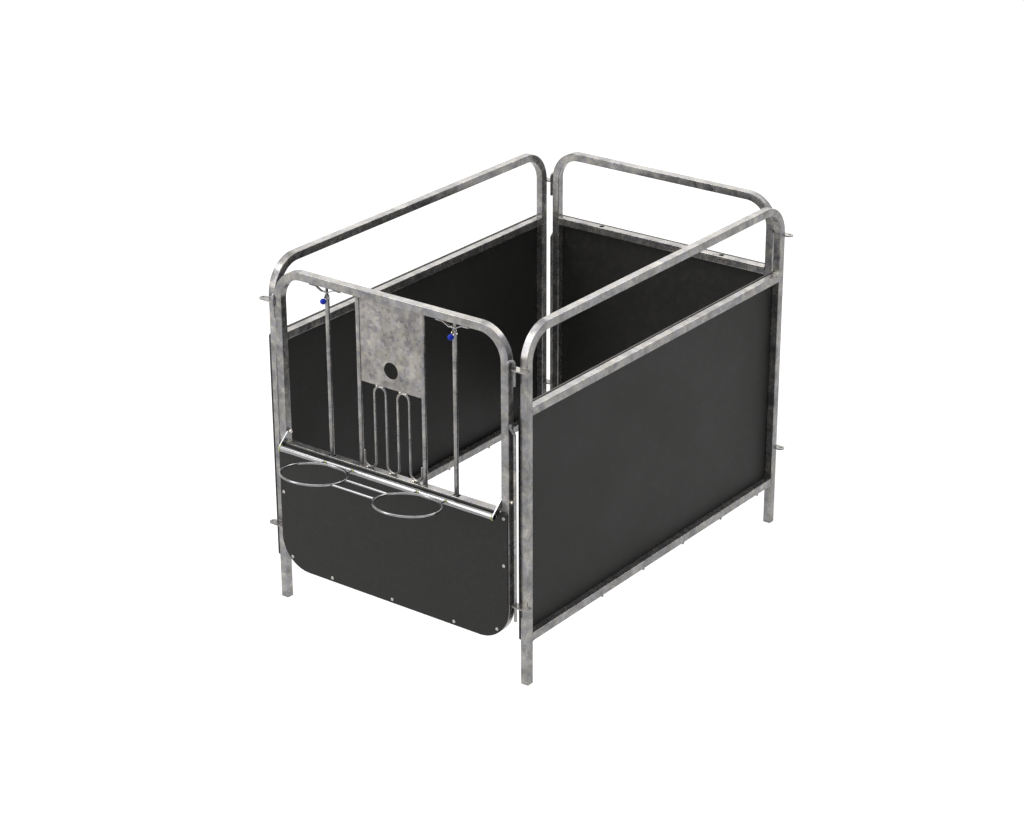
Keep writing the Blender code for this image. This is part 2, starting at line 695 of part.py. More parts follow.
def latch_lever(side, x):
    """A flat lever: its tongue stands up behind the guide and its foot carries the ball."""
    toe = BALL / 4 - BALL_FORWARD
    top = LATCH_TONGUE
    half = BALL / 8
    foot = -BALL_DROP
    edge = [(-0.0045, top - 0.002), (-0.0025, top), (0.0025, top), (0.0045, top - 0.002)]
    edge += [(0.0052, 0), (0.0050, -0.005), (0.0035, -0.0085), (0.001, foot - half)]
    edge += [(toe, foot - half), (toe, foot + half)]
    edge += [(-0.0085, foot + half), (-0.0060, -0.0025), (-0.0050, 0)]
    hole = circle(LATCH_BOLT / 2 + SEAT)
    name = side + "_latch_lever"
    centre = (x, GATE_Y, LATCH_Z)
    flat_piece(name, [edge, hole], LATCH_THICKNESS, centre, "X", galvanised, latch_groups[side])


def latch_ball(side, x):
    """A plastic ball pressed on the lever's foot."""
    mesh = bpy.data.meshes.new(side + "_latch_ball")
    work = bmesh.new()
    bmesh.ops.create_uvsphere(work, u_segments=20, v_segments=12, radius=BALL / 2)
    work.to_mesh(mesh)
    work.free()
    mesh.materials.append(ball_blue)
    smooth_rounds(mesh)
    ball = bpy.data.objects.new(side + "_latch_ball", mesh)
    pen.objects.link(ball)
    centre = (x, GATE_Y - BALL_FORWARD, LATCH_Z - BALL_DROP)
    place(ball, latch_groups[side], centre)
    depth = BALL / 4 + SEAT
    half_x = LATCH_THICKNESS / 2 + SEAT
    pocket = rectangle((-half_x, -depth), (half_x, BALL / 2), (SEAT,) * 4, 1)
    mouth = (x, GATE_Y - BALL_FORWARD + BALL / 2, LATCH_Z - BALL_DROP)
    combine(ball, prism(side + "_pocket_cutter", pocket, BALL / 4 + 2 * SEAT, mouth, "Z"))


def latch_bolt(side, x):
    """The small bolt through the fork that the lever turns on."""
    shank = LATCH_BOLT / 2
    head = LATCH_BOLT_HEAD / 2
    seat = -SWING_BAR / 2 - SEAT
    low = seat - LATCH_BOLT / 2
    end = SWING_BAR / 2 + LATCH_BOLT_END
    profile = [(0, low), (head, low), (head, seat), (shank, seat), (shank, end), (0, end)]
    centre = (x, GATE_Y, LATCH_Z)
    turn = (0, math.pi / 2, 0)
    headed_pin(side + "_latch_bolt", profile, centre, turn, bolt_zinc, bar_groups[side])


for side, sign in SIGNS.items():
    bar_x = sign * SWING_BAR_X
    guide_strap(side, bar_x)
    latch_lever(side, bar_x)
    latch_ball(side, bar_x)
    latch_bolt(side, bar_x)


# Bucket holder

def holder_tube():
    """A round tube across the front, open at both ends."""
    half = HOLDER_ARM_X - SEAT
    outer = circle(HOLDER_TUBE / 2, 24)
    bore = circle(HOLDER_TUBE / 2 - TUBE_WALL, 24)
    centre = (0, HOLDER_TUBE_Y, HOLDER_TUBE_Z)
    flat_piece("holder_tube", [outer, bore], 2 * half, centre, "X", bright_zinc, holder_group)


def holder_arm(side, sign):
    """A flat arm from the gate's post to the end of the tube."""
    pivot = (GATE_Y, HOLDER_Z)
    tube_end = (HOLDER_TUBE_Y, HOLDER_TUBE_Z)
    edge = stadium(pivot, tube_end, ARM_WIDTH)
    pivot_hole = circle(PIVOT_BOLT / 2 + SEAT, 16, pivot)
    tube_hole = circle(ARM_TUBE_HOLE / 2, 16, tube_end)
    centre = (sign * (HOLDER_ARM_X + ARM_THICKNESS / 2), 0, 0)
    name = side + "_holder_arm"
    outlines = [edge, pivot_hole, tube_hole]
    flat_piece(name, outlines, ARM_THICKNESS, centre, "X", bright_zinc, holder_group)


def ring_height(y):
    """Height of the rings' tilted middle plane."""
    return RING_Z - (y - RING_Y) * math.tan(RING_TILT)


def bucket_ring(side, x):
    """A wire ring for a bucket, with two stubs that carry it on the tube."""
    mesh = bpy.data.meshes.new(side + "_bucket_ring")
    work = bmesh.new()
    rings = []
    for step in range(48):
        turn = Matrix.Rotation(2 * math.pi * step / 48, 3, "Z")
        section = [(RING_RADIUS + across, 0, up) for across, up in circle(WIRE / 2, 10)]
        rings.append([work.verts.new(turn @ Vector(point)) for point in section])
    for here, ahead in zip(rings, rings[1:] + rings[:1]):
        for index in range(10):
            after = (index + 1) % 10
            work.faces.new((here[index], ahead[index], ahead[after], here[after]))
    bmesh.ops.recalc_face_normals(work, faces=work.faces)
    work.to_mesh(mesh)
    work.free()
    mesh.materials.append(bright_zinc)
    smooth_rounds(mesh)
    ring = bpy.data.objects.new(side + "_bucket_ring", mesh)
    pen.objects.link(ring)
    ring.rotation_euler.x = -RING_TILT
    place(ring, holder_group, (x, RING_Y, RING_Z))
    for number, offset in enumerate((-STUB_OFFSET, STUB_OFFSET), 1):
        start = RING_Y + math.cos(RING_TILT) * math.sqrt(RING_RADIUS ** 2 - STUB_OFFSET ** 2)
        middle = (start + STUB_END_Y) / 2
        length = (STUB_END_Y - start) / math.cos(RING_TILT)
        name = side + "_stub_cutter_" + str(number)
        outline = circle(WIRE / 2, 10)
        stub = prism(name, outline, length, (x + offset, middle, ring_height(middle)), "Y")
        stub.rotation_euler.x -= RING_TILT
        combine(ring, stub, "UNION")


def link_rod(name, offset):
    """A straight rod from ring to ring."""
    reach = math.sqrt((RING_RADIUS + WIRE / 2) ** 2 - (abs(offset) - WIRE / 2) ** 2) + SEAT
    y = RING_Y + offset * math.cos(RING_TILT)
    z = ring_height(y)
    ends = [(RING_X[0] + reach, y, z), (RING_X[1] - reach, y, z)]
    rod(name, ends, WIRE, bright_zinc, holder_group)


def pivot_bolt(side, sign):
    """The hexagon bolt through the gate's post that an arm turns on."""
    height = PIVOT_HEAD_HEIGHT
    centre = (sign * (HOLDER_ARM_X - SEAT - height / 2), GATE_Y, HOLDER_Z)
    name = side + "_pivot_bolt"
    outline = circle(PIVOT_HEAD / 2, 6)
    bolt = prism(name, outline, height, centre, "X", bolt_zinc, gate_group)
    start = HOLDER_ARM_X - height / 2
    middle = (sign * (start + PIVOT_BOLT_END) / 2, GATE_Y, HOLDER_Z)
    shank = circle(PIVOT_BOLT / 2, 16)
    length = PIVOT_BOLT_END - start
    combine(bolt, prism(side + "_shank_cutter", shank, length, middle, "X"), "UNION")
    diameter = PIVOT_BOLT + 2 * SEAT
    post = (sign * (LOOP_HALF_WIDTH - TUBE / 2), GATE_Y, HOLDER_Z)
    cut_hole(gate_frame, side + "_post_cutter", diameter, 1.3 * TUBE, post, "X")


def pivot_nut(side, sign):
    """The nut on the outer end of a pivot bolt."""
    outlines = [circle(PIVOT_HEAD / 2, 6), circle(PIVOT_BOLT / 2 + SEAT, 16)]
    height = PIVOT_NUT_HEIGHT
    centre = (sign * (LOOP_HALF_WIDTH + SEAT + height / 2), GATE_Y, HOLDER_Z)
    flat_piece(side + "_pivot_nut", outlines, height, centre, "X", bolt_zinc, gate_group)


def stop_bolt(side, sign):
    """The short stop on the post that an arm rests on."""
    outer = LOOP_HALF_WIDTH - TUBE - SEAT
    inner = outer - STOP_BOLT_LENGTH
    ends = [(sign * inner, STOP_BOLT_Y, STOP_BOLT_Z), (sign * outer, STOP_BOLT_Y, STOP_BOLT_Z)]
    rod(side + "_stop_bolt", ends, STOP_BOLT, bolt_zinc, gate_group)


holder_tube()
link_rod("rear_link_rod", LINK_OFFSET)
link_rod("front_link_rod", -LINK_OFFSET)
for (side, sign), ring_x in zip(SIGNS.items(), RING_X):
    holder_arm(side, sign)
    bucket_ring(side, ring_x)
    pivot_bolt(side, sign)
    pivot_nut(side, sign)
    stop_bolt(side, sign)
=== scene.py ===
"""Calf pen: the finished look of every piece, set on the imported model."""
import math
import random
import bmesh
import bpy
from mathutils import Matrix, Vector


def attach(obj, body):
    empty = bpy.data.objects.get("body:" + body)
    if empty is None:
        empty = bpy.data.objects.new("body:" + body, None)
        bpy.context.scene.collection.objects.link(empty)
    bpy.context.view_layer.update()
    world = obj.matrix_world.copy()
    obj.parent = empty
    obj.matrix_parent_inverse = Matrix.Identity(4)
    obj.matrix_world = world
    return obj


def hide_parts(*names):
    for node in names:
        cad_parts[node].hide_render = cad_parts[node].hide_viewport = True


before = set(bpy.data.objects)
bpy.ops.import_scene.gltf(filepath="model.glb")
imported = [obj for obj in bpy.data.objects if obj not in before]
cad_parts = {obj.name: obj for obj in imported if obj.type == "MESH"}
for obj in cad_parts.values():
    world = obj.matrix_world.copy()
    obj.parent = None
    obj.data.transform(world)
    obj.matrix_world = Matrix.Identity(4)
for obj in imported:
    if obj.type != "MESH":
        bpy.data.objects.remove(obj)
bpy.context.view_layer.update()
random.seed(11)


# Picture
# The pen is seen from the front right and above, against plain white, as it stands in a photo studio.
# A large soft lamp hangs over it and two fill the sides; three more draw the bright lines on the bent
# and round steel: one high at the front left, one high at the back and one low at the back left.

CAMERA_PLACE = (5.0005, -6.6401, 4.2535)
CAMERA_TURN = math.radians(36.765)
CAMERA_FALL = math.radians(23.303)
CAMERA_ROLL = math.radians(-0.167)
LENS_MM = 89.60
SENSOR_MM = 36.0
SHIFT = (-0.00841, -0.00792)

scene = bpy.context.scene
bpy.ops.object.select_all(action="DESELECT")
bpy.ops.object.camera_add(location=CAMERA_PLACE)
camera = bpy.context.object
turn = Matrix.Rotation(CAMERA_TURN, 3, "Z") @ Matrix.Rotation(math.pi / 2 - CAMERA_FALL, 3, "X")
camera.rotation_euler = (turn @ Matrix.Rotation(CAMERA_ROLL, 3, "Z")).to_euler()
camera.data.lens = LENS_MM
camera.data.sensor_width = SENSOR_MM
camera.data.shift_x = SHIFT[0]
camera.data.shift_y = SHIFT[1]
scene.camera = camera
scene.view_settings.view_transform = "Standard"


def soft_lamp(name, place, aim, width, depth, power, tint):
    """A square softbox that faces a point."""
    bpy.ops.object.light_add(type="AREA", location=place)
    lamp = bpy.context.object
    lamp.name = name
    lamp.rotation_euler = (Vector(aim) - Vector(place)).to_track_quat("-Z", "Y").to_euler()
    lamp.data.shape = "RECTANGLE"
    lamp.data.size = width
    lamp.data.size_y = depth
    lamp.data.energy = power
    lamp.data.color = tint
    lamp.visible_camera = False
    return lamp


soft_lamp("overhead_softbox", (-0.6, -0.4, 4.2), (0, 0, 0.4), 3.2, 3.2, 70, (1.0, 0.985, 0.96))
soft_lamp("front_left_softbox", (-3.3, -5.9, 3.3), (0.2, -0.5, 0.9), 2.4, 4.4, 150, (1.0, 0.985, 0.96))
soft_lamp("right_softbox", (4.6, -0.8, 2.2), (0.2, 0, 0.5), 1.4, 2.4, 22, (0.95, 0.97, 1.0))
soft_lamp("bend_softbox", (-3.3, -3.0, 5.5), (0, -0.6, 1.1), 3.2, 1.8, 108, (0.98, 0.99, 1.0))
soft_lamp("high_back_softbox", (0.5, 6.1, 6.6), (0.2, 0, 1.2), 6.0, 2.2, 175, (1.0, 0.99, 0.98))
soft_lamp("low_back_softbox", (-3.7, 5.9, 4.3), (0, 0, 1.1), 4.2, 2.2, 46, (1.0, 0.97, 0.92))


class Nodes:
    """Short way to add and link shader nodes in one tree."""

    def __init__(self, tree):
        self.tree = tree
        tree.nodes.clear()

    def add(self, kind, values=None, **settings):
        """A new node with its settings and the values or links of its inputs."""
        node = self.tree.nodes.new("ShaderNode" + kind)
        for key, value in settings.items():
            setattr(node, key, value)
        for key, value in (values or {}).items():
            if isinstance(value, bpy.types.NodeSocket):
                self.tree.links.new(value, node.inputs[key])
            else:
                node.inputs[key].default_value = value
        return node

    def sum(self, *values):
        """The sum of some sockets or numbers."""
        total = values[0]
        for value in values[1:]:
            total = self.add("Math", {0: total, 1: value}, operation="ADD").outputs[0]
        return total

    def scaled(self, value, low, high, start=0.0, end=1.0):
        """A value moved from the range start to end into the range low to high."""
        values = {"Value": value, "From Min": start, "From Max": end, "To Min": low, "To Max": high}
        return self.add("MapRange", values).outputs[0]

    def noise(self, where, scale, detail=2.0, roughness=0.5, distortion=0.0):
        """A cloudy pattern of a scale."""
        values = {"Vector": where, "Scale": scale, "Detail": detail, "Roughness": roughness,
                  "Distortion": distortion}
        return self.add("TexNoise", values).outputs[0]

    def ramp(self, factor, *stops):
        """A colour ramp with stops of a place and a colour."""
        node = self.add("ValToRGB", {0: factor})
        elements = node.color_ramp.elements
        while len(elements) < len(stops):
            elements.new(0.5)
        for element, (place, colour) in zip(elements, stops):
            element.position = place
            element.color = (*colour, 1)
        return node.outputs[0]

    def surface(self, colour, roughness, height, strength, distance, extra=None):
        """The finished surface: colour, roughness, a relief of a height, and what else is set."""
        relief = self.add("Bump", {"Height": height, "Strength": strength, "Distance": distance})
        values = {"Base Color": colour, "Roughness": roughness, "Normal": relief.outputs[0]}
        shader = self.add("BsdfPrincipled", {**values, **(extra or {})})
        self.add("OutputMaterial", {"Surface": shader.outputs[0]})

    def blend(self, factor, first, second, mode="MIX"):
        """Two colours mixed."""
        values = {0: factor, 6: first, 7: second}
        return self.add("Mix", values, data_type="RGBA", blend_type=mode).outputs[2]


AMBIENT = 0.30

world = bpy.data.worlds.new("white_studio")
world.use_nodes = True
scene.world = world
n = Nodes(world.node_tree)
ray = n.add("LightPath").outputs
seen = n.sum(ray["Is Camera Ray"], ray["Is Glossy Ray"], ray["Is Transmission Ray"])
ambient = n.add("Background", {"Color": (1, 1, 1, 1), "Strength": AMBIENT}).outputs[0]
white = n.add("Background", {"Color": (1, 1, 1, 1), "Strength": 1.0}).outputs[0]
shown = n.add("MixShader", {0: seen, 1: ambient, 2: white}).outputs[0]
n.add("OutputWorld", {"Surface": shown})

FLOOR_SIZE = 60.0
FLOOR_DIFFUSE = 0.34
FLOOR_GLOW = 0.90

bpy.ops.mesh.primitive_plane_add(size=FLOOR_SIZE, location=(0, 0, 0))
floor = bpy.context.object
floor.name = "studio_floor"
floor_white = bpy.data.materials.new("floor_white")
floor_white.use_nodes = True
n = Nodes(floor_white.node_tree)
matt = n.add("BsdfDiffuse", {"Color": (FLOOR_DIFFUSE,) * 3 + (1,)}).outputs[0]
pale = n.add("BsdfDiffuse", {"Color": (0.8, 0.8, 0.8, 1)}).outputs[0]
ray = n.add("LightPath").outputs
seen = n.sum(ray["Is Camera Ray"], ray["Is Glossy Ray"], ray["Is Transmission Ray"])
glow = n.add("Emission", {"Strength": FLOOR_GLOW}).outputs[0]
lifted = n.add("AddShader", {0: matt, 1: glow}).outputs[0]
shown = n.add("MixShader", {0: seen, 1: pale, 2: lifted}).outputs[0]
n.add("OutputMaterial", {"Surface": shown})
floor.data.materials.append(floor_white)


# Side frames
# Each side panel hangs in an inverted U of 30 mm square steel tube with a 2 mm wall. It is bent cold
# at the two top corners, stands on its two open legs and is dipped in a zinc bath when all is welded.

TUBE = 0.030
TUBE_WALL = 0.002
TUBE_CORNER = 0.003
POST_X = 0.5345
FRONT_POST_Y = -0.63178
REAR_POST_Y = 0.90822
TOP_Z = 1.280
BEND_MIDLINE = 0.110
BEND_STEPS = 18
ACROSS = {"X": (0, math.pi / 2, 0), "Y": (math.pi / 2, 0, 0), "Z": (0, 0, 0)}


def new_finish(name):
    """A new material, its nodes and the place on the piece."""
    finish = bpy.data.materials.new(name)
    finish.use_nodes = True
    n = Nodes(finish.node_tree)
    return finish, n, n.add("TexCoord").outputs["Object"]


def zinc(name, tone, contrast, metal, rough, grain, spangle, depth=0.0009, tint=(1.0, 1.0, 1.0),
         flake=0.26):
    """Weathered zinc: cloudy warm and cool patches, crystal spangle, soft waves and dull spots."""
    finish, n, here = new_finish(name)
    cloud = n.noise(here, 13, 4, 0.55)
    patch = n.noise(here, grain, 5, 0.62, 0.5)
    swell = n.noise(here, grain * 0.6, 1)
    speck = n.noise(here, grain * 6.5, 3)
    drift = n.add("TexNoise", {"Vector": here, "Scale": 60}).outputs[1]
    bent = n.add("Mix", {0: 0.012, 4: here, 5: drift}, data_type="VECTOR").outputs[1]
    crystal = n.add("TexVoronoi", {"Vector": bent, "Scale": spangle}).outputs["Color"]
    crystal, hue = n.add("SeparateColor", {0: crystal}).outputs[:2]
    warmth = (1 + 0.07 * contrast, 1.0, 1 - 0.15 * contrast)
    chill = (1.0, 1 - 0.03 * contrast, 1 + 0.07 * contrast)
    warm = [tone * part * share for part, share in zip(tint, warmth)]
    cool = [tone * part * share for part, share in zip(tint, chill)]
    dull = [tone * part * 0.70 for part in tint]
    mood = n.sum(n.scaled(patch, 0, 0.6, 0.35, 0.65), n.scaled(hue, 0, 0.4))
    blush = n.ramp(mood, (0.30, cool), (0.70, warm))
    shade = n.sum(n.scaled(cloud, 1 - 0.55 * contrast, 1 + 0.45 * contrast, 0.32, 0.68),
                  n.scaled(speck, -0.08 * contrast, 0.08 * contrast, 0.3, 0.7),
                  n.scaled(crystal, -flake * contrast, flake * contrast))
    swing = (0.75 - flake) * contrast
    shade = n.add("Math", {0: shade, 1: n.scaled(patch, 1 - swing, 1 + swing, 0.30, 0.70)},
                  operation="MULTIPLY").outputs[0]
    grey = n.add("CombineColor", {0: shade, 1: shade, 2: shade}).outputs[0]
    colour = n.blend(1.0, blush, grey, "MULTIPLY")
    rust = n.noise(here, 24, 4, 0.6)
    colour = n.blend(n.scaled(rust, 0, 0.7 * contrast, 0.52, 0.72), colour, (*dull, 1))
    roughness = n.sum(n.scaled(patch, rough * 0.82, rough * 1.18, 0.3, 0.7),
                      n.scaled(crystal, -0.06 * contrast, 0.06 * contrast),
                      n.scaled(rust, 0, 0.2 * contrast, 0.5, 0.7))
    waves = n.sum(n.scaled(swell, 0, 0.9), n.scaled(patch, 0, 0.07), n.scaled(speck, 0, 0.02))
    n.surface(colour, roughness, waves, 0.4, depth, {"Metallic": metal})
    return finish


galvanised = zinc("galvanised_steel", 0.260, 0.56, 0.68, 0.23, 25, 58)


def take(name):
    """Name the primitive that was just added and put its place into its mesh."""
    piece = bpy.context.object
    piece.name = name
    piece.data.name = name
    bpy.ops.object.transform_apply(location=True, rotation=True, scale=True)
    return piece


def hold(*pieces):
    """Leave edit mode and select these pieces alone; the last one is the one worked on."""
    if bpy.context.mode != "OBJECT":
        bpy.ops.object.mode_set(mode="OBJECT")
    bpy.ops.object.select_all(action="DESELECT")
    for piece in pieces:
        piece.select_set(True)
    bpy.context.view_layer.objects.active = pieces[-1]


def edit(choice="SELECT", kind="VERT"):
    """Go to edit mode with all or nothing selected."""
    bpy.ops.object.mode_set(mode="EDIT")
    bpy.ops.mesh.select_mode(type=kind)
    bpy.ops.mesh.select_all(action=choice)


def pick(test, kind="VERT"):
    """In edit mode, select the points, edges or faces whose middle passes a test."""
    bpy.ops.mesh.select_mode(type=kind)
    bpy.ops.mesh.select_all(action="DESELECT")
    mesh = bpy.context.object.data
    work = bmesh.from_edit_mesh(mesh)
    if kind == "FACE":
        chosen = [face for face in work.faces if test(face.calc_center_median())]
    elif kind == "EDGE":
        chosen = [edge for edge in work.edges if test((edge.verts[0].co + edge.verts[1].co) / 2)]
    else:
        chosen = [point for point in work.verts if test(point.co)]
    for part in chosen:
        part.select = True
    work.select_flush_mode()
    bmesh.update_edit_mesh(mesh)


def pull(*move):
    """Extrude what is selected by a move."""
    bpy.ops.mesh.extrude_region_move(TRANSFORM_OT_translate={"value": move})


def sweep(path, radius, steps):
    """Draw the selected section along a path: straight runs by extruding, round corners by spinning."""
    spots = [Vector(spot) for spot in path]
    at = spots[0]
    for before, corner, after in zip(spots, spots[1:], spots[2:]):
        back = (before - corner).normalized()
        ahead = (after - corner).normalized()
        half = back.angle(ahead) / 2
        entry = corner + back * radius / math.tan(half)
        centre = corner + (back + ahead).normalized() * radius / math.sin(half)
        axis = (-back).cross(ahead).normalized()
        if (entry - at).length > 0.0001:
            pull(*(entry - at))
        bpy.ops.mesh.spin(steps=steps, angle=math.pi - 2 * half, center=centre, axis=-axis)
        at = corner + ahead * radius / math.tan(half)
    pull(*(spots[-1] - at))


def square_tube(name, path, axis, radius=BEND_MIDLINE):
    """A square tube with a 2 mm wall along a path that starts along an axis."""
    bpy.ops.mesh.primitive_plane_add(size=TUBE, location=path[0], rotation=ACROSS[axis])
    piece = take(name)
    edit()
    bpy.ops.mesh.bevel(offset=TUBE_CORNER, segments=3, affect="VERTICES")
    bpy.ops.mesh.delete(type="ONLY_FACE")
    bpy.ops.mesh.select_all(action="SELECT")
    sweep(path, radius, BEND_STEPS)
    bpy.ops.mesh.select_all(action="SELECT")
    bpy.ops.mesh.remove_doubles(threshold=0.00002)
    bpy.ops.mesh.normals_make_consistent(inside=False)
    bpy.ops.object.mode_set(mode="OBJECT")
    wall = piece.modifiers.new("wall", "SOLIDIFY")
    wall.thickness = TUBE_WALL
    wall.offset = -1
    bpy.ops.object.modifier_apply(modifier="wall")
    return piece


def settle(piece, finish, body, slot, *nodes, sharp=35):
    """Finish a piece: place in its mesh, shading, material, body and the nodes it stands for; its slot is
    not used.
    """
    hold(piece)
    bpy.ops.object.transform_apply(location=True, rotation=True, scale=True)
    bpy.ops.object.shade_smooth_by_angle(angle=math.radians(sharp))
    flats = piece.modifiers.new("flats", "WEIGHTED_NORMAL")
    flats.keep_sharp = True
    bpy.ops.object.modifier_apply(modifier="flats")
    piece.data.materials.clear()
    piece.data.materials.append(finish)
    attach(piece, body)
    if nodes:
        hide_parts(*nodes)
    return piece


def copy_of(piece, name, move=(0, 0, 0), flip=""):
    """A copy with its own mesh, mirrored across the pen's middle planes where asked, and moved."""
    hold(piece)
    bpy.ops.object.duplicate(linked=False)
    twin = bpy.context.object
    twin.name = name
    twin.data.name = name
    twin.parent = None
    twin.matrix_world = Matrix.Identity(4)
    twin.scale = [-1 if axis in flip else 1 for axis in "xyz"]
    twin.location = move
    bpy.ops.object.transform_apply(location=True, rotation=True, scale=True)
    if len(flip) % 2:
        edit()
        bpy.ops.mesh.normals_make_consistent(inside=False)
        bpy.ops.object.mode_set(mode="OBJECT")
    return twin


SIDE_PATH = [(-POST_X, FRONT_POST_Y, 0), (-POST_X, FRONT_POST_Y, TOP_Z - TUBE / 2),
             (-POST_X, REAR_POST_Y, TOP_Z - TUBE / 2), (-POST_X, REAR_POST_Y, 0)]

left_frame = square_tube("left_side_bow", SIDE_PATH, "Z")
right_frame = copy_of(left_frame, "right_side_bow", (2 * POST_X, 0, 0))
settle(left_frame, galvanised, "side_panels", "galvanised_tube", "left_side_frame")
settle(right_frame, galvanised, "side_panels", "galvanised_tube", "right_side_frame")


# Side rails
# A mid rail and a low rail of the same tube run between the legs and are welded to them. The low
# rail has a drain hole in its top near the front, and five small rounded bolt ends stand out below
# it, near the face that carries no board.

RAIL_LEVELS = {"mid": 1.0064, "low": 0.187}
WELD_GAP = 0.0003
RAIL_FRONT = FRONT_POST_Y + TUBE / 2 + WELD_GAP
RAIL_REAR = REAR_POST_Y - TUBE / 2 - WELD_GAP
SEAM_WIDTH = TUBE - 0.0016
SEAM_HEIGHT = TUBE + 0.0006
WALL_DRILL = 0.008
BAR_DRILL = 0.030
TUBE_DRILL = 0.060
DRAIN_HOLE = 0.006
DRAIN_Y = -0.51678
BOLT_END = 0.009
BOLT_END_PROUD = 0.0085
BOLT_END_OUT = 0.0105
BOLT_END_Y = (-0.209, 0.044, 0.297, 0.548, 0.801)


def drill(piece, place, axis, diameter, depth, sides=32):
    """Drill a round hole through or into a piece, centred on a place."""
    bpy.ops.mesh.primitive_cylinder_add(vertices=sides, radius=diameter / 2, depth=depth,
                                        location=place, rotation=ACROSS[axis])
    cut(piece, bpy.context.object)


def cut(piece, cutter, operation="DIFFERENCE"):
    """Cut one shape out of a piece, or join it on, and throw the cutter away."""
    hold(piece)
    step = piece.modifiers.new("cut", "BOOLEAN")
    step.operation = operation
    step.solver = "EXACT"
    step.object = cutter
    bpy.ops.object.modifier_apply(modifier="cut")
    bpy.data.objects.remove(cutter)


def bead(name, thickness):
    """Turn the edges in hand into a weld bead whose ripples follow each other closely."""
    bpy.ops.object.mode_set(mode="OBJECT")
    bpy.ops.object.convert(target="CURVE")
    line = bpy.context.object.data
    line.bevel_depth = thickness / 2
    line.bevel_resolution = 2
    line.use_fill_caps = True
    for spline in line.splines:
        for number, point in enumerate(spline.points):
            point.radius = (1.16, 0.96, 0.84)[number % 3] * random.uniform(0.92, 1.08)
    bpy.ops.object.convert(target="MESH")
    piece = bpy.context.object
    piece.name = name
    mend(piece)
    return piece


def mend(piece):
    """Close a shape that was cut or drawn: join doubled points and turn its faces outwards."""
    hold(piece)
    edit()
    bpy.ops.mesh.remove_doubles(threshold=0.00001)
    bpy.ops.mesh.normals_make_consistent(inside=False)
    bpy.ops.object.mode_set(mode="OBJECT")


def square_seam(name, place, axis, clear, thickness=0.0034):
    """A bead round the end of a square tube; it stops short on the side where a board lies."""
    bpy.ops.mesh.primitive_plane_add(size=1, location=place, rotation=ACROSS[axis])
    upright = axis == "X"
    bpy.context.object.scale = (SEAM_HEIGHT, SEAM_WIDTH, 1) if upright else (SEAM_WIDTH, SEAM_HEIGHT, 1)
    take(name)
    edit()
    bpy.ops.mesh.delete(type="ONLY_FACE")
    pick(clear, "EDGE")
    bpy.ops.mesh.delete(type="EDGE")
    bpy.ops.mesh.select_all(action="SELECT")
    bpy.ops.mesh.subdivide(number_cuts=19)
    return bead(name, thickness)


def round_seam(name, place, axis, diameter, thickness=0.003):
    """A bead round a bar."""
    sides = int(math.pi * diameter / 0.0016 / 3) * 3
    bpy.ops.mesh.primitive_circle_add(vertices=sides, radius=diameter / 2, location=place,
                                      rotation=ACROSS[axis])
    take(name)
    return bead(name, thickness)


def straight_seam(name, start, end, thickness=0.003):
    """A short straight bead."""
    start = Vector(start)
    end = Vector(end)
    bpy.ops.mesh.primitive_plane_add(size=0.001, location=start)
    take(name)
    edit()
    bpy.ops.mesh.merge(type="CENTER")
    steps = max(3, round((end - start).length / 0.0014))
    for step in range(steps):
        pull(*((end - start) / steps))
    return bead(name, thickness)


def joined(name, pieces):
    """Several small pieces made one."""
    hold(*pieces)
    if len(pieces) > 1:
        bpy.ops.object.join()
    piece = bpy.context.object
    piece.name = name
    piece.data.name = name
    return piece


def settle_welds(name, seams, body):
    """Join the beads of a seam and give them the frame's zinc."""
    settle(joined(name, seams), galvanised, body, "galvanised_tube", sharp=60)


seams = []
bolt_ends = []
for level, top in RAIL_LEVELS.items():
    middle = top - TUBE / 2
    path = [(-POST_X, RAIL_FRONT, middle), (-POST_X, RAIL_REAR, middle)]
    rail = square_tube("left_" + level + "_rail_tube", path, "Y")
    if level == "low":
        drill(rail, (-POST_X, DRAIN_Y, top), "Z", DRAIN_HOLE, WALL_DRILL)
    twin = copy_of(rail, "right_" + level + "_rail_tube", (2 * POST_X, 0, 0))
    settle(rail, galvanised, "side_panels", "galvanised_tube", "left_side_" + level + "_rail")
    settle(twin, galvanised, "side_panels", "galvanised_tube", "right_side_" + level + "_rail")
    for y in (RAIL_FRONT, RAIL_REAR):
        for x in (-POST_X, POST_X):
            seams.append(square_seam("rail_seam", (x, y, middle), "Y", lambda spot: spot.x < x - TUBE / 3))
settle_welds("side_rail_welds", seams, "side_panels")

for x in (-POST_X, POST_X):
    for y in BOLT_END_Y:
        low = RAIL_LEVELS["low"] - TUBE
        bpy.ops.mesh.primitive_cylinder_add(vertices=24, radius=BOLT_END / 2, depth=2 * BOLT_END_PROUD,
                                            location=(x + BOLT_END_OUT, y, low))
        bolt_ends.append(take("bolt_end"))
        edit()
        pick(lambda spot: spot.z < low)
        bpy.ops.mesh.bevel(offset=BOLT_END_PROUD * 0.6, segments=4, affect="EDGES")
        bpy.ops.object.mode_set(mode="OBJECT")
settle(joined("low_rail_bolt_ends", bolt_ends), galvanised, "side_panels", "zinc_bolt", sharp=50)


# Side boards
# The lower part of each side is one solid 8 mm board of black recycled plastic, sawn to size with
# small round corners. It lies on the same face of both panels and laps the two rails.

BOARD = 0.008
BOARD_X = 0.0193
BOARD_FRONT = -0.64478
BOARD_REAR = 0.92122
BOARD_LOW = 0.160
BOARD_TOP = 1.008
BOARD_CORNER = 0.010
BOARD_EDGE = 0.0008


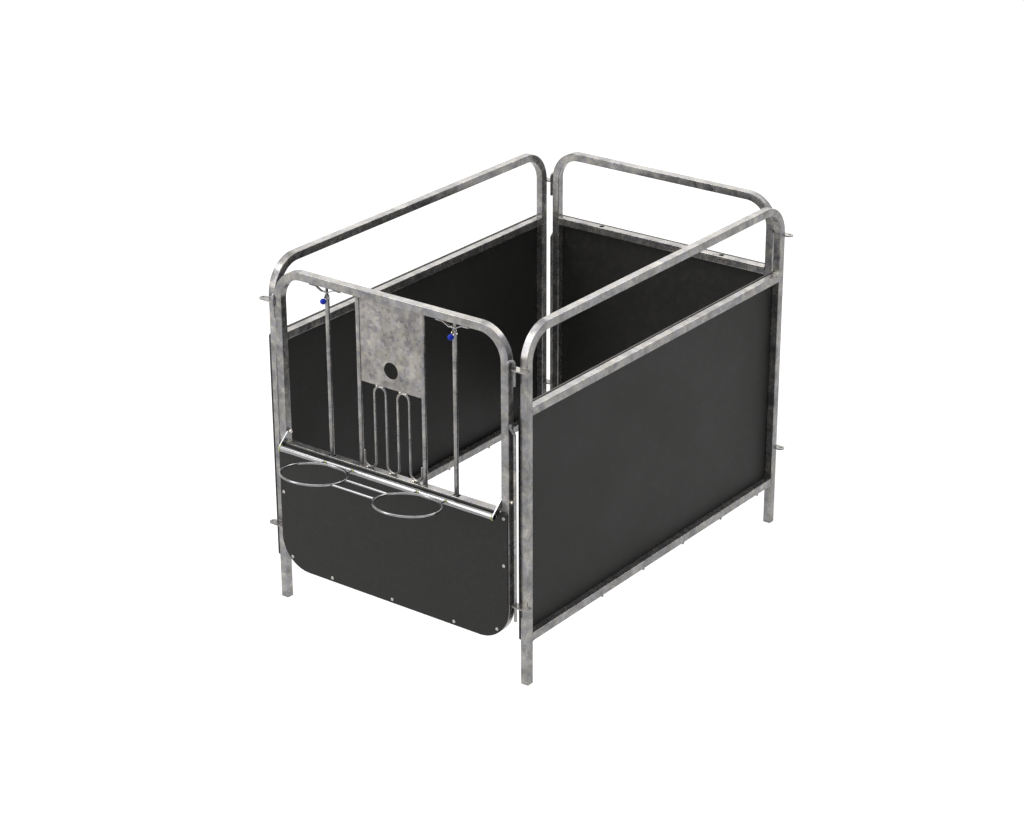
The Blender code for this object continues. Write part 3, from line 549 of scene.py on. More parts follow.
def black_plastic(name, tone):
    """Matt black board: cloudy pressing marks, dust, painted top light that makes up-facing faces a lighter
    grey, fine scuffs and grain.
    """
    finish, n, here = new_finish(name)
    cloud = n.noise(here, 3.2, 5, 0.6)
    dust = n.noise(here, 38, 6, 0.7)
    grain = n.noise(here, 520, 2)
    level = n.add("Mapping", {"Vector": here, "Scale": (7, 7, 420)}).outputs[0]
    scuff = n.noise(level, 1.0, 3)
    steep = n.add("Mapping", {"Vector": here, "Scale": (300, 300, 9),
                              "Rotation": (0.5, 0.35, 0)}).outputs[0]
    scrape = n.noise(steep, 1.0, 2)
    marks = n.sum(n.scaled(scuff, 0, 1, 0.64, 0.76), n.scaled(scrape, 0, 0.8, 0.66, 0.78))
    base = n.ramp(cloud, (0.30, (tone * 0.90, tone * 0.89, tone * 0.86)),
                  (0.70, (tone * 1.16, tone * 1.12, tone * 1.05)))
    dust_and_top_light = n.blend(n.scaled(dust, 0, 0.08, 0.48, 0.72), base, (0.16, 0.15, 0.135, 1))
    # Painted top light: faces turned upwards are blended towards a lighter grey, as if lit from above.
    facing = n.add("SeparateXYZ", {0: n.add("TexCoord").outputs["Normal"]}).outputs[2]
    painted_top_light = n.scaled(facing, 0, 0.42, 0.55, 0.95)
    dust_and_top_light = n.blend(painted_top_light, dust_and_top_light, (0.17, 0.165, 0.155, 1))
    colour = n.blend(n.add("Math", {0: marks, 1: 0.10}, operation="MULTIPLY").outputs[0],
                     dust_and_top_light, (0.12, 0.12, 0.12, 1))
    roughness = n.sum(n.scaled(cloud, 0.50, 0.60, 0.3, 0.7), n.scaled(dust, -0.05, 0.09, 0.3, 0.7),
                      n.add("Math", {0: marks, 1: 0.05}, operation="MULTIPLY").outputs[0])
    height = n.sum(n.scaled(grain, 0, 0.35), n.scaled(dust, 0, 0.35), n.scaled(marks, 0, -0.4))
    n.surface(colour, roughness, height, 0.20, 0.0006, {"Specular IOR Level": 0.25})
    return finish


board_black = black_plastic("black_board_plastic", 0.0138)


def soften(piece, width, segments=2, angle=50):
    """Break the sharp edges of a piece."""
    hold(piece)
    step = piece.modifiers.new("edge", "BEVEL")
    step.width = width
    step.segments = segments
    step.limit_method = "ANGLE"
    step.angle_limit = math.radians(angle)
    bpy.ops.object.modifier_apply(modifier="edge")


bpy.ops.mesh.primitive_plane_add(size=1, rotation=ACROSS["X"], location=(
    -POST_X - BOARD_X - BOARD / 2, (BOARD_FRONT + BOARD_REAR) / 2, (BOARD_LOW + BOARD_TOP) / 2))
bpy.context.object.scale = (BOARD_TOP - BOARD_LOW, BOARD_REAR - BOARD_FRONT, 1)
left_board = take("left_board_sheet")
edit()
bpy.ops.mesh.bevel(offset=BOARD_CORNER, segments=6, affect="VERTICES")
bpy.ops.mesh.select_all(action="SELECT")
pull(BOARD, 0, 0)
mend(left_board)
soften(left_board, BOARD_EDGE)
right_board = copy_of(left_board, "right_board_sheet", (2 * POST_X, 0, 0))
settle(left_board, board_black, "side_panels", "black_board", "left_side_board")
settle(right_board, board_black, "side_panels", "black_board", "right_side_board")


# Eye plates
# Flat 5 mm bars with rounded ends, one upper and one lower at each leg. The outer eye takes this pen's
# pins and the inner one the next pen's; the plate's back edge is welded to the leg's outer face.

EYE_LENGTH = 0.074
EYE_WIDTH = 0.0312
EYE_THICKNESS = 0.005
EYE_HOLE = 0.011
EYE_PITCH = 0.048
EYE_SEAM_HALF = 0.013
EYE_SEAM_LEVELS = (0.0006, -0.0056)
EYE_TOPS = {"upper": 1.148, "lower": 0.301}
GATE_PLANE = -0.66278
BACK_PLANE = 0.93922

bpy.ops.mesh.primitive_plane_add(size=1, location=(0, GATE_PLANE, -EYE_THICKNESS))
bpy.context.object.scale = (EYE_LENGTH, EYE_WIDTH, 1)
eye_plate = take("eye_plate")
edit()
bpy.ops.mesh.bevel(offset=EYE_WIDTH * 0.4995, segments=12, affect="VERTICES")
bpy.ops.mesh.select_all(action="SELECT")
pull(0, 0, EYE_THICKNESS)
mend(eye_plate)
for step in (-0.5, 0.5):
    drill(eye_plate, (step * EYE_PITCH, GATE_PLANE, -EYE_THICKNESS / 2), "Z", EYE_HOLE, BAR_DRILL)
soften(eye_plate, 0.0005)
leg_face = FRONT_POST_Y - TUBE / 2 - WELD_GAP
seams = [straight_seam("eye_seam", (-EYE_SEAM_HALF, leg_face, z), (EYE_SEAM_HALF, leg_face, z))
         for z in EYE_SEAM_LEVELS]
eye_seams = joined("eye_seams", seams)
for side, sign in (("left", -1), ("right", 1)):
    for level, top in EYE_TOPS.items():
        place = (sign * POST_X, 0, top)
        node = side + "_front_" + level + "_eye"
        front = copy_of(eye_plate, node + "_plate", place)
        settle(front, galvanised, "side_panels", "galvanised_tube", node)
        weld = copy_of(eye_seams, node + "_welds", place)
        settle(weld, galvanised, "side_panels", "galvanised_tube", sharp=60)
        place = (sign * POST_X, GATE_PLANE + BACK_PLANE, top)
        node = side + "_rear_" + level + "_eye"
        rear = copy_of(eye_plate, node + "_plate", place, "y")
        settle(rear, galvanised, "side_panels", "galvanised_tube", node)
        weld = copy_of(eye_seams, node + "_welds", place, "y")
        settle(weld, galvanised, "side_panels", "galvanised_tube", sharp=60)
bpy.data.objects.remove(eye_plate)
bpy.data.objects.remove(eye_seams)


# Gate loop
# The gate is a closed loop of the same square tube, bent at four corners and welded end to end in its
# bottom rail. A vent hole lets the zinc out, and two holes in the posts take the holder's bolts.

LOOP_X = 0.4806
LOOP_LOW = 0.158
LOOP_MIDLINE_BEND = 0.104
SEAM_X = 0.19
VENT_HOLE = 0.008
BOLT_HOLE = 0.0086
HOLDER_PIVOT_Z = 0.6735


def loop_path(plane):
    """The loop's middle line, from one side of the bottom joint round to the other."""
    low = LOOP_LOW + TUBE / 2
    high = TOP_Z - TUBE / 2
    corners = [(LOOP_X, low), (LOOP_X, high), (-LOOP_X, high), (-LOOP_X, low)]
    return [(x, plane, z) for x, z in [(SEAM_X, low), *corners, (SEAM_X, low)]]


gate_loop = square_tube("gate_loop", loop_path(GATE_PLANE), "X", LOOP_MIDLINE_BEND)
back_loop = copy_of(gate_loop, "back_loop", (0, BACK_PLANE - GATE_PLANE, 0))
drill(gate_loop, (0, GATE_PLANE, LOOP_LOW), "Z", VENT_HOLE, WALL_DRILL)
for sign in (-1, 1):
    drill(gate_loop, (sign * LOOP_X, GATE_PLANE, HOLDER_PIVOT_Z), "X", BOLT_HOLE, TUBE_DRILL)
settle(gate_loop, galvanised, "gate", "galvanised_tube", "gate_frame")


# Gate mid rail
# A straight square tube between the gate's posts. Two slots are milled in its top, where the swing
# bars' feet stand, and a pin goes through the tube at each slot.

GATE_RAIL_TOP = 0.6345
RAIL_REACH = 0.4653
SWING_X = 0.270
PIVOT_Z = 0.6195
SLOT_LENGTH = 0.026
SLOT_WIDTH = 0.017
SLOT_DEPTH = 0.005
SLOT_CORNER = 0.003
PIN_HOLE = 0.0066

middle = GATE_RAIL_TOP - TUBE / 2
path = [(-RAIL_REACH, GATE_PLANE, middle), (RAIL_REACH, GATE_PLANE, middle)]
gate_rail = square_tube("gate_cross_rail", path, "X")
for sign in (-1, 1):
    bpy.ops.mesh.primitive_cube_add(size=1, location=(sign * SWING_X, GATE_PLANE, GATE_RAIL_TOP),
                                    scale=(SLOT_LENGTH, SLOT_WIDTH, 2 * SLOT_DEPTH))
    slot_cutter = take("slot_cutter")
    edit()
    bpy.ops.mesh.bevel(offset=SLOT_CORNER, segments=3, affect="EDGES")
    bpy.ops.object.mode_set(mode="OBJECT")
    cut(gate_rail, slot_cutter)
    drill(gate_rail, (sign * SWING_X, GATE_PLANE, PIVOT_Z), "Y", PIN_HOLE, TUBE_DRILL)
settle(gate_rail, galvanised, "gate", "galvanised_tube", "gate_mid_rail")
seams = [square_seam("gate_rail_seam", (x, GATE_PLANE, middle), "X",
                     lambda spot: spot.y < GATE_PLANE - TUBE / 3) for x in (-RAIL_REACH, RAIL_REACH)]
settle_welds("gate_rail_welds", seams, "gate")


# Gate board
# The board on the front of the gate is sawn to the loop's own outline. Nine pale plastic rivets with
# low domed heads hold it to the tube.

LOOP_BEND = 0.119
GATE_BOARD_FRONT = -0.68608
GATE_BOARD_TOP = 0.634
BOARD_UPPER_CORNER = 0.006
RIVETS = ((-0.481, 0.617), (0.481, 0.617), (-0.481, 0.445), (0.481, 0.445), (-0.451, 0.201),
          (0.451, 0.201), (-0.269, 0.172), (0.269, 0.172), (0, 0.172))
RIVET_HEAD = 0.0125
RIVET_DOME = 0.0032


def loop_board(name, front, top):
    """A board with two wide lower corners and two small upper ones."""
    middle = (LOOP_LOW + top) / 2
    bpy.ops.mesh.primitive_plane_add(size=1, rotation=ACROSS["Y"], location=(0, front, middle))
    bpy.context.object.scale = (2 * (LOOP_X + TUBE / 2), top - LOOP_LOW, 1)
    board = take(name)
    edit()
    pick(lambda spot: spot.z < middle)
    bpy.ops.mesh.bevel(offset=LOOP_BEND, segments=20, affect="VERTICES")
    pick(lambda spot: spot.z > top - BOARD_UPPER_CORNER)
    bpy.ops.mesh.bevel(offset=BOARD_UPPER_CORNER, segments=5, affect="VERTICES")
    bpy.ops.mesh.select_all(action="SELECT")
    pull(0, BOARD, 0)
    mend(board)
    soften(board, BOARD_EDGE)
    return board


gate_board = loop_board("gate_board_sheet", GATE_BOARD_FRONT, GATE_BOARD_TOP)
settle(gate_board, board_black, "gate", "black_board", "gate_board")

rivet_white, n, here = new_finish("pale_rivet_plastic")
grime = n.noise(here, 260, 4)
colour = n.ramp(grime, (0.35, (0.42, 0.41, 0.39)), (0.6, (0.62, 0.61, 0.58)))
n.surface(colour, n.scaled(grime, 0.35, 0.6, 0.3, 0.7), grime, 0.3, 0.0004)

bpy.ops.mesh.primitive_uv_sphere_add(segments=28, ring_count=14, radius=RIVET_HEAD / 2)
bpy.context.object.scale = (1, 2 * RIVET_DOME / RIVET_HEAD, 1)
rivet = take("rivet")
edit()
bpy.ops.mesh.bisect(plane_co=(0, 0, 0), plane_no=(0, 1, 0), clear_outer=True, use_fill=True)
mend(rivet)
soften(rivet, 0.0004)
heads = [copy_of(rivet, "rivet_head", (x, GATE_BOARD_FRONT, z)) for x, z in RIVETS]
bpy.data.objects.remove(rivet)
settle(joined("gate_board_rivets", heads), rivet_white, "gate", "black_board", sharp=50)


# Hooks and rods
# Round 10 mm bars welded to the corners of each loop's posts. The upper one arches over into its eye
# and the lower one is a long bar with an offset that drops into the lower eye.

PIN_ROD = 0.010
PIN_X = 0.5105
HOOK_SEAT_X = 0.4974
HOOK_OUT = 0.0193
HOOK_ARCH = 0.0115
HOOK_CROWN = 1.173
HOOK_ENDS = (1.085, 1.135)
ROD_SEAT_X = 0.5009
ROD_OUT = 0.010
ROD_HEIGHTS = (0.955, 0.940, 0.915, 0.238)
ROD_BEND = 0.012
HOOK_WELD_X = HOOK_SEAT_X - 0.003
HOOK_WELD_DEPTHS = (0.0149, 0.0222)
HOOK_WELD_HEIGHTS = (1.140, 1.160)
ROD_WELD_X = 0.4963
ROD_WELD_DEPTHS = (0.0055, 0.0145)
ROD_WELD_HEIGHTS = (0.9425, 0.9535)
PIN_WELD = 0.0032


def round_bar(name, path, diameter, axis, radius=0.01, steps=8, sides=20, chamfer=0.0009):
    """A solid round bar along a path that starts along an axis, with its ends broken."""
    bpy.ops.mesh.primitive_circle_add(vertices=sides, radius=diameter / 2, fill_type="NGON",
                                      location=path[0], rotation=ACROSS[axis])
    bar = take(name)
    edit()
    sweep(path, radius, steps)
    mend(bar)
    if chamfer:
        soften(bar, chamfer)
    return bar


seat = GATE_PLANE - HOOK_OUT
path = [(-PIN_X, GATE_PLANE, HOOK_ENDS[0]), (-PIN_X, GATE_PLANE, HOOK_CROWN),
        (-HOOK_SEAT_X, seat, HOOK_CROWN), (-HOOK_SEAT_X, seat, HOOK_ENDS[1])]
hook = round_bar("left_gate_upper_hook", path, PIN_ROD, "Z", HOOK_ARCH, 12)
seat = GATE_PLANE - ROD_OUT
path = [(-PIN_X, GATE_PLANE, ROD_HEIGHTS[3]), (-PIN_X, GATE_PLANE, ROD_HEIGHTS[2]),
        (-ROD_SEAT_X, seat, ROD_HEIGHTS[1]), (-ROD_SEAT_X, seat, ROD_HEIGHTS[0])]
rod = round_bar("left_gate_lower_rod", path, PIN_ROD, "Z", ROD_BEND, 6)
seams = []
for name, x, depths, heights in (("hook_seam", -HOOK_WELD_X, HOOK_WELD_DEPTHS, HOOK_WELD_HEIGHTS),
                                 ("rod_seam", -ROD_WELD_X, ROD_WELD_DEPTHS, ROD_WELD_HEIGHTS)):
    for depth in depths:
        start, end = [(x, GATE_PLANE - depth, height) for height in heights]
        seams.append(straight_seam(name, start, end, PIN_WELD))
post_welds = joined("left_gate_post_welds", seams)
for plane, body, flip in (("gate", "gate", ""), ("back", "back_panel", "y")):
    for side, across in (("left", ""), ("right", "x")):
        name = side + "_" + plane
        shift = (0, GATE_PLANE + BACK_PLANE, 0) if flip else (0, 0, 0)
        twin = copy_of(hook, name + "_arched_hook", shift, flip + across)
        settle(twin, galvanised, body, "galvanised_tube", name + "_hook", sharp=50)
        twin = copy_of(rod, name + "_long_rod", shift, flip + across)
        settle(twin, galvanised, body, "galvanised_tube", name + "_rod", sharp=50)
        twin = copy_of(post_welds, name + "_pin_welds", shift, flip + across)
        settle(twin, galvanised, body, "galvanised_tube", sharp=60)
for pattern in (hook, rod, post_welds):
    bpy.data.objects.remove(pattern)


# Fixed bars
# Two plain 16 mm bars stand between the mid rail and the top rail, with a weld round each end.

FIXED_BAR = 0.016
FIXED_BAR_X = 0.1375
BAR_FOOT = GATE_RAIL_TOP + WELD_GAP
BAR_TOP = TOP_Z - TUBE - WELD_GAP
BAR_WELD_RISE = 0.0006

for side, sign in (("left", -1), ("right", 1)):
    x = sign * FIXED_BAR_X
    bar = round_bar(side + "_upright_bar", [(x, GATE_PLANE, BAR_FOOT), (x, GATE_PLANE, BAR_TOP)],
                    FIXED_BAR, "Z", sides=32, chamfer=0)
    settle(bar, galvanised, "gate", "galvanised_tube", side + "_fixed_bar", sharp=50)
    seams = [round_seam("bar_seam", (x, GATE_PLANE, z), "Z", FIXED_BAR + BAR_WELD_RISE)
             for z in (BAR_FOOT + BAR_WELD_RISE, BAR_TOP - BAR_WELD_RISE)]
    settle_welds(side + "_upright_bar_welds", seams, "gate")


# Teat plate
# A 3 mm sheet between the fixed bars, cut from plain sheet with a large zinc crystal pattern. It has a
# round hole for a feeding teat, three tiny holes in a row above, and short tacks to bars and rail.

PLATE_HALF = 0.1285
PLATE_LOW = 0.9470
PLATE_TOP = BAR_TOP
PLATE = 0.003
TEAT_HOLE = 0.060
TEAT_HOLE_Z = 1.012
TINY_HOLE = 0.006
TINY_HOLE_Z = 1.197
TINY_HOLE_STEP = 0.050
PLATE_TACK_X = 0.1290
PLATE_TACK_BACK = 0.0022
PLATE_TACK_HEIGHTS = (0.960, 1.090, 1.225)
PLATE_TACK_LENGTH = 0.016
PLATE_TACK = 0.0028

spangled = zinc("spangled_zinc_sheet", 0.256, 0.60, 0.56, 0.30, 30, 84,
                tint=(1.02, 1.0, 0.97), flake=0.40)
bpy.ops.mesh.primitive_plane_add(size=1, rotation=ACROSS["Y"],
                                 location=(0, GATE_PLANE - PLATE / 2, (PLATE_LOW + PLATE_TOP) / 2))
bpy.context.object.scale = (2 * PLATE_HALF, PLATE_TOP - PLATE_LOW, 1)
plate = take("teat_sheet")
edit()
bpy.ops.mesh.bevel(offset=0.001, segments=2, affect="VERTICES")
bpy.ops.mesh.select_all(action="SELECT")
pull(0, PLATE, 0)
mend(plate)
drill(plate, (0, GATE_PLANE, TEAT_HOLE_Z), "Y", TEAT_HOLE, BAR_DRILL, 64)
for step in (-1, 0, 1):
    drill(plate, (step * TINY_HOLE_STEP, GATE_PLANE, TINY_HOLE_Z), "Y", TINY_HOLE, BAR_DRILL, 20)
soften(plate, 0.0005)
settle(plate, spangled, "gate", "spangled_sheet", "teat_plate", sharp=50)
seams = []
for sign in (-1, 1):
    for z in PLATE_TACK_HEIGHTS:
        start, end = [(sign * PLATE_TACK_X, GATE_PLANE + PLATE_TACK_BACK, height)
                      for height in (z, z + PLATE_TACK_LENGTH)]
        seams.append(straight_seam("plate_tack", start, end, PLATE_TACK))
settle_welds("teat_sheet_tacks", seams, "gate")


# Zigzag wire
# One 8 mm wire is bent to and fro between the plate and the mid rail. Its two ends stand free beside
# the bars, its three lower bends are welded to the rail and its two crowns to the plate's edge.

WIRE = 0.008
WIRE_LEGS = (0.025, 0.0745, 0.1245)
WIRE_BEND = 0.0245
WIRE_CROWN = 0.9424
WIRE_FLOOR = 0.6388
WIRE_END = 0.6945
FLOOR_TACK_X = 0.0995
FLOOR_TACK_FRONT = 0.0030
FLOOR_TACK_BACK = 0.0036
CROWN_TACK_X = 0.04975
CROWN_TACK_FRONT = 0.0018
CROWN_TACK_Z = 0.9457
CROWN_TACK_STARTS = (-0.0155, 0.0095)
CROWN_TACK_LENGTH = 0.006
CROWN_TACK_FALL = 0.06

inner, outer, last = WIRE_LEGS
path = [(-last, WIRE_END), (-last, WIRE_FLOOR), (-outer, WIRE_FLOOR), (-outer, WIRE_CROWN),
        (-inner, WIRE_CROWN), (-inner, WIRE_FLOOR)]
path += [(-x, z) for x, z in reversed(path)]
wire = round_bar("bent_wire", [(x, GATE_PLANE, z) for x, z in path], WIRE, "Z", WIRE_BEND, 12, 16)
settle(wire, galvanised, "gate", "galvanised_tube", "zigzag_wire", sharp=50)
bright_weld = zinc("bright_weld_zinc", 0.66, 0.30, 0.85, 0.30, 90, 160, tint=(1.06, 1.0, 0.88))
seams = []
for x in (-FLOOR_TACK_X, 0, FLOOR_TACK_X):
    y = GATE_PLANE - FLOOR_TACK_FRONT
    seams.append(straight_seam("floor_tack", (x - 0.015, y, 0.6364), (x - 0.007, y, 0.6358), 0.0046))
    y = GATE_PLANE + FLOOR_TACK_BACK
    seams.append(straight_seam("floor_tack", (x - 0.010, y, 0.6357), (x + 0.010, y, 0.6357), 0.0036))
for x in (-CROWN_TACK_X, CROWN_TACK_X):
    for reach in CROWN_TACK_STARTS:
        height = CROWN_TACK_Z - abs(reach) * CROWN_TACK_FALL
        start = Vector((x + reach, GATE_PLANE - CROWN_TACK_FRONT, height))
        end = start + Vector((CROWN_TACK_LENGTH, 0, 0))
        seams.append(straight_seam("crown_tack", start, end, 0.0042))
settle(joined("bent_wire_tacks", seams), bright_weld, "gate", "galvanised_tube", sharp=60)


# Guide straps
# Flat 3.5 mm straps under the top rail, cranked down in the middle, where a notch in the back edge
# catches the latch. Each end is welded up against the rail.

GUIDE_FRONT = GATE_PLANE - TUBE / 2
GUIDE_DEPTH = 0.0095
GUIDE_LOW = 1.2335
GUIDE_THICKNESS = 0.0035
GUIDE_HIGH = BAR_TOP - GUIDE_THICKNESS
GUIDE_FLAT = 0.015
GUIDE_SLOPE = 0.0388
GUIDE_END = 0.066
NOTCH = (0.006, 0.0094)
GUIDE_END_WELD_Z = 1.2475
GUIDE_SIDE_WELD_Z = 1.2482
GUIDE_SIDE_WELD = 0.014

for side, sign in (("left", -1), ("right", 1)):
    x = sign * SWING_X
    bpy.ops.mesh.primitive_plane_add(size=1, location=(x, GUIDE_FRONT + GUIDE_DEPTH / 2, GUIDE_LOW))
    bpy.context.object.scale = (2 * GUIDE_FLAT, GUIDE_DEPTH, 1)
    strap = take(side + "_cranked_strap")
    for way in (-1, 1):
        edit("DESELECT")
        pick(lambda spot: (spot.x - x) * way > GUIDE_FLAT - 0.001, "EDGE")
        pull(way * (GUIDE_SLOPE - GUIDE_FLAT), 0, GUIDE_HIGH - GUIDE_LOW)
        pull(way * (GUIDE_END - GUIDE_SLOPE), 0, 0)
    bpy.ops.mesh.select_all(action="SELECT")
    bpy.ops.mesh.normals_make_consistent(inside=False)
    hold(strap)
    wall = strap.modifiers.new("wall", "SOLIDIFY")
    wall.thickness = GUIDE_THICKNESS
    wall.offset = 1
    bpy.ops.object.modifier_apply(modifier="wall")
    mend(strap)
    bpy.ops.mesh.primitive_cube_add(size=1, location=(x, GUIDE_FRONT + GUIDE_DEPTH, GUIDE_LOW),
                                    scale=(NOTCH[0], NOTCH[1], 0.02))
    cut(strap, take("notch_cutter"))
    soften(strap, 0.0006, angle=40)
    settle(strap, galvanised, "gate", "galvanised_tube", side + "_guide", sharp=50)
    seams = []
    for way in (-1, 1):
        end = x + way * GUIDE_END
        seams.append(straight_seam("guide_seam", (end, GUIDE_FRONT + 0.001, GUIDE_END_WELD_Z),
                                   (end, GUIDE_FRONT + GUIDE_DEPTH - 0.001, GUIDE_END_WELD_Z), 0.0032))
        corner = (end, GUIDE_FRONT + 0.0004, GUIDE_SIDE_WELD_Z)
        seams.append(straight_seam("guide_seam", (end - way * GUIDE_SIDE_WELD, *corner[1:]), corner, 0.0028))
    settle_welds(side + "_strap_welds", seams, "gate")


# Swing bars
# 16 mm bars that tip sideways to hold a calf's neck. Each has a cross hole at its foot for the pin in
# the mid rail, and a slot milled in its top, like a fork, where the latch lever turns.

SWING_BAR = 0.016
SWING_FOOT = 0.611
SWING_TOP = 1.222
FORK_GAP = 0.0056
FORK_DEPTH = 0.026
LATCH_Z = 1.211
LATCH_BOLT = 0.006

for side, sign in (("left", -1), ("right", 1)):
    x = sign * SWING_X
    bar = round_bar(side + "_tipping_bar", [(x, GATE_PLANE, SWING_FOOT), (x, GATE_PLANE, SWING_TOP)],
                    SWING_BAR, "Z", sides=32, chamfer=0.0012)
    drill(bar, (x, GATE_PLANE, PIVOT_Z), "Y", PIN_HOLE, BAR_DRILL)
    drill(bar, (x, GATE_PLANE, LATCH_Z), "X", PIN_HOLE, BAR_DRILL)
    bpy.ops.mesh.primitive_cube_add(size=1, location=(x, GATE_PLANE, SWING_TOP),
                                    scale=(FORK_GAP, BAR_DRILL, 2 * FORK_DEPTH))
    fork_cutter = take("fork_cutter")
    edit()
    pick(lambda spot: spot.z < SWING_TOP - 0.01 and abs(spot.y - GATE_PLANE) < 0.001, "EDGE")
    bpy.ops.mesh.bevel(offset=FORK_GAP * 0.45, segments=5, affect="EDGES")
    bpy.ops.object.mode_set(mode="OBJECT")
    cut(bar, fork_cutter)
    soften(bar, 0.0004, 1, 60)
    settle(bar, galvanised, side + "_bar", "galvanised_tube", side + "_swing_bar", sharp=50)


# Pins and latch bolts
# A 6 mm pin with a flat round head goes through the mid rail from behind, and a small domed bolt goes
# through each bar's fork, its end standing a little proud. Both are bright zinc plated.

PIN = 0.006
PIN_HEAD = 0.012
PIN_HEAD_HEIGHT = 0.003
PIN_FRONT_Y = -0.67748
PIN_REACH = 0.0297
BOLT_HEAD = 0.010
BOLT_HEAD_HEIGHT = 0.003
BOLT_REACH = 0.0188
BOLT_PROUD = 0.0025

plated = zinc("plated_bolt_zinc", 0.68, 0.20, 0.90, 0.24, 160, 300, 0.0002, (1.07, 1.0, 0.90))


def headed_pin(name, start, axis, way, shank, reach, head, height, dome=0.55):
    """A round pin with a head at the end of its reach, domed over a share of the head's height."""
    heading = Vector([way if letter == axis else 0 for letter in "XYZ"])
    middle = Vector(start) + heading * reach / 2
    bpy.ops.mesh.primitive_cylinder_add(vertices=24, radius=shank / 2, depth=reach, location=middle,
                                        rotation=ACROSS[axis])
    pin = take(name)
    soften(pin, 0.0005)
    middle = Vector(start) + heading * (reach + height / 2 - 0.0001)
    bpy.ops.mesh.primitive_cylinder_add(vertices=28, radius=head / 2, depth=height, location=middle,
                                        rotation=ACROSS[axis])
    cap = take(name + "_cap")
    edit()
    pick(lambda spot: (spot - middle).dot(heading) > 0)
    bpy.ops.mesh.bevel(offset=height * dome, segments=7, affect="EDGES")
    bpy.ops.object.mode_set(mode="OBJECT")
    cut(pin, cap, "UNION")
    return pin


def hexagon(name, place, axis, across, height, hole):
    """A hexagon nut with its corners broken."""
    bpy.ops.mesh.primitive_cylinder_add(vertices=6, radius=across / 2, depth=height, location=place,
                                        rotation=ACROSS[axis])
    nut = take(name)
    soften(nut, 0.0006, 3, 40)
    drill(nut, place, axis, hole, height * 3)
    return nut


for side, sign in (("left", -1), ("right", 1)):
    x = sign * SWING_X
    pin = headed_pin(side + "_rail_pin", (x, PIN_FRONT_Y, PIVOT_Z), "Y", 1, PIN, PIN_REACH,
                     PIN_HEAD, PIN_HEAD_HEIGHT)
    settle(pin, plated, "gate", "zinc_bolt", side + "_bar_pin", sharp=50)
    start = (x + SWING_BAR / 2 + BOLT_PROUD, GATE_PLANE, LATCH_Z)
    bolt = headed_pin(side + "_fork_bolt", start, "X", -1, LATCH_BOLT, BOLT_REACH,
                      BOLT_HEAD, BOLT_HEAD_HEIGHT)
    settle(bolt, plated, side + "_bar", "zinc_bolt", side + "_latch_bolt", sharp=50)


# Latches
# A flat zinc lever turns on each small bolt: its tongue stands up behind the guide strap and its foot
# goes into a moulded blue plastic ball, so the bar can be freed with one finger.

BALL = 0.021
BALL_FORWARD = 0.0205
BALL_DROP = 0.0075
PARTING_PROUD = 0.00015

ball_blue, n, here = new_finish("moulded_blue_plastic")
haze = n.noise(here, 120, 4)
scuff = n.noise(here, 700, 3)
colour = n.ramp(haze, (0.35, (0.008, 0.024, 0.33)), (0.65, (0.013, 0.036, 0.46)))
colour = n.blend(n.scaled(scuff, 0, 0.06, 0.62, 0.75), colour, (0.20, 0.24, 0.48, 1))
sheen = n.scaled(haze, 0.28, 0.46, 0.3, 0.7)
n.surface(colour, sheen, scuff, 0.15, 0.0003, {"Specular IOR Level": 0.13})

for side, sign in (("left", -1), ("right", 1)):
    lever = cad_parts[side + "_latch_lever"]
    lever.data.materials.clear()
    lever.data.materials.append(galvanised)
    middle = Vector((sign * SWING_X, GATE_PLANE - BALL_FORWARD, LATCH_Z - BALL_DROP))
    bpy.ops.mesh.primitive_uv_sphere_add(segments=40, ring_count=20, radius=BALL / 2 - PARTING_PROUD,
                                         location=middle)
    ball = take(side + "_moulded_ball")
    edit()
    pick(lambda spot: abs(spot.z - middle.z) < 0.0001, "EDGE")
    bpy.ops.mesh.bevel(offset=0.0003, segments=2, affect="EDGES")
    pick(lambda spot: abs(spot.z - middle.z) < 0.00015)
    bpy.ops.transform.shrink_fatten(value=PARTING_PROUD)
    mend(ball)
    settle(ball, ball_blue, side + "_latch", "blue_plastic", side + "_latch_ball", sharp=60)


# Bucket holder tube and arms
# A 22 mm round tube, open at both ends, lies across the gate's front. It is welded between two flat
# arms that turn on bolts in the gate's posts, and all of it is brighter new zinc.

HOLDER_TUBE = 0.022
HOLDER_TUBE_Y = -0.71318
HOLDER_TUBE_Z = 0.6281
HOLDER_HALF = 0.460
ARM_X = 0.4603
ARM_THICKNESS = 0.005
ARM_WIDTH = 0.022
ARM_TUBE_HOLE = 0.016
ARM_BOLT_HOLE = 0.0086

bright = zinc("bright_new_zinc", 0.245, 0.14, 0.97, 0.19, 40, 110, 0.0002, (0.99, 1.0, 1.03))

yellow, n, here = new_finish("yellow_green_weld")
stain = n.noise(here, 190, 4)
crust = n.noise(here, 620, 3)
colour = n.ramp(stain, (0.34, (0.30, 0.34, 0.045)), (0.52, (0.47, 0.52, 0.09)),
                (0.70, (0.62, 0.63, 0.26)))
n.surface(colour, n.scaled(crust, 0.30, 0.52, 0.3, 0.7), crust, 0.5, 0.0008, {"Metallic": 0.25})

bpy.ops.mesh.primitive_circle_add(vertices=48, radius=HOLDER_TUBE / 2, rotation=ACROSS["X"],
                                  location=(-HOLDER_HALF, HOLDER_TUBE_Y, HOLDER_TUBE_Z))
cross_tube = take("bucket_cross_tube")
edit()
for step in range(4):
    pull(HOLDER_HALF / 2, 0, 0)
mend(cross_tube)
wall = cross_tube.modifiers.new("wall", "SOLIDIFY")
wall.thickness = TUBE_WALL
wall.offset = -1
bpy.ops.object.modifier_apply(modifier="wall")
soften(cross_tube, 0.0004)
settle(cross_tube, bright, "holder", "bright_zinc", "holder_tube", sharp=40)

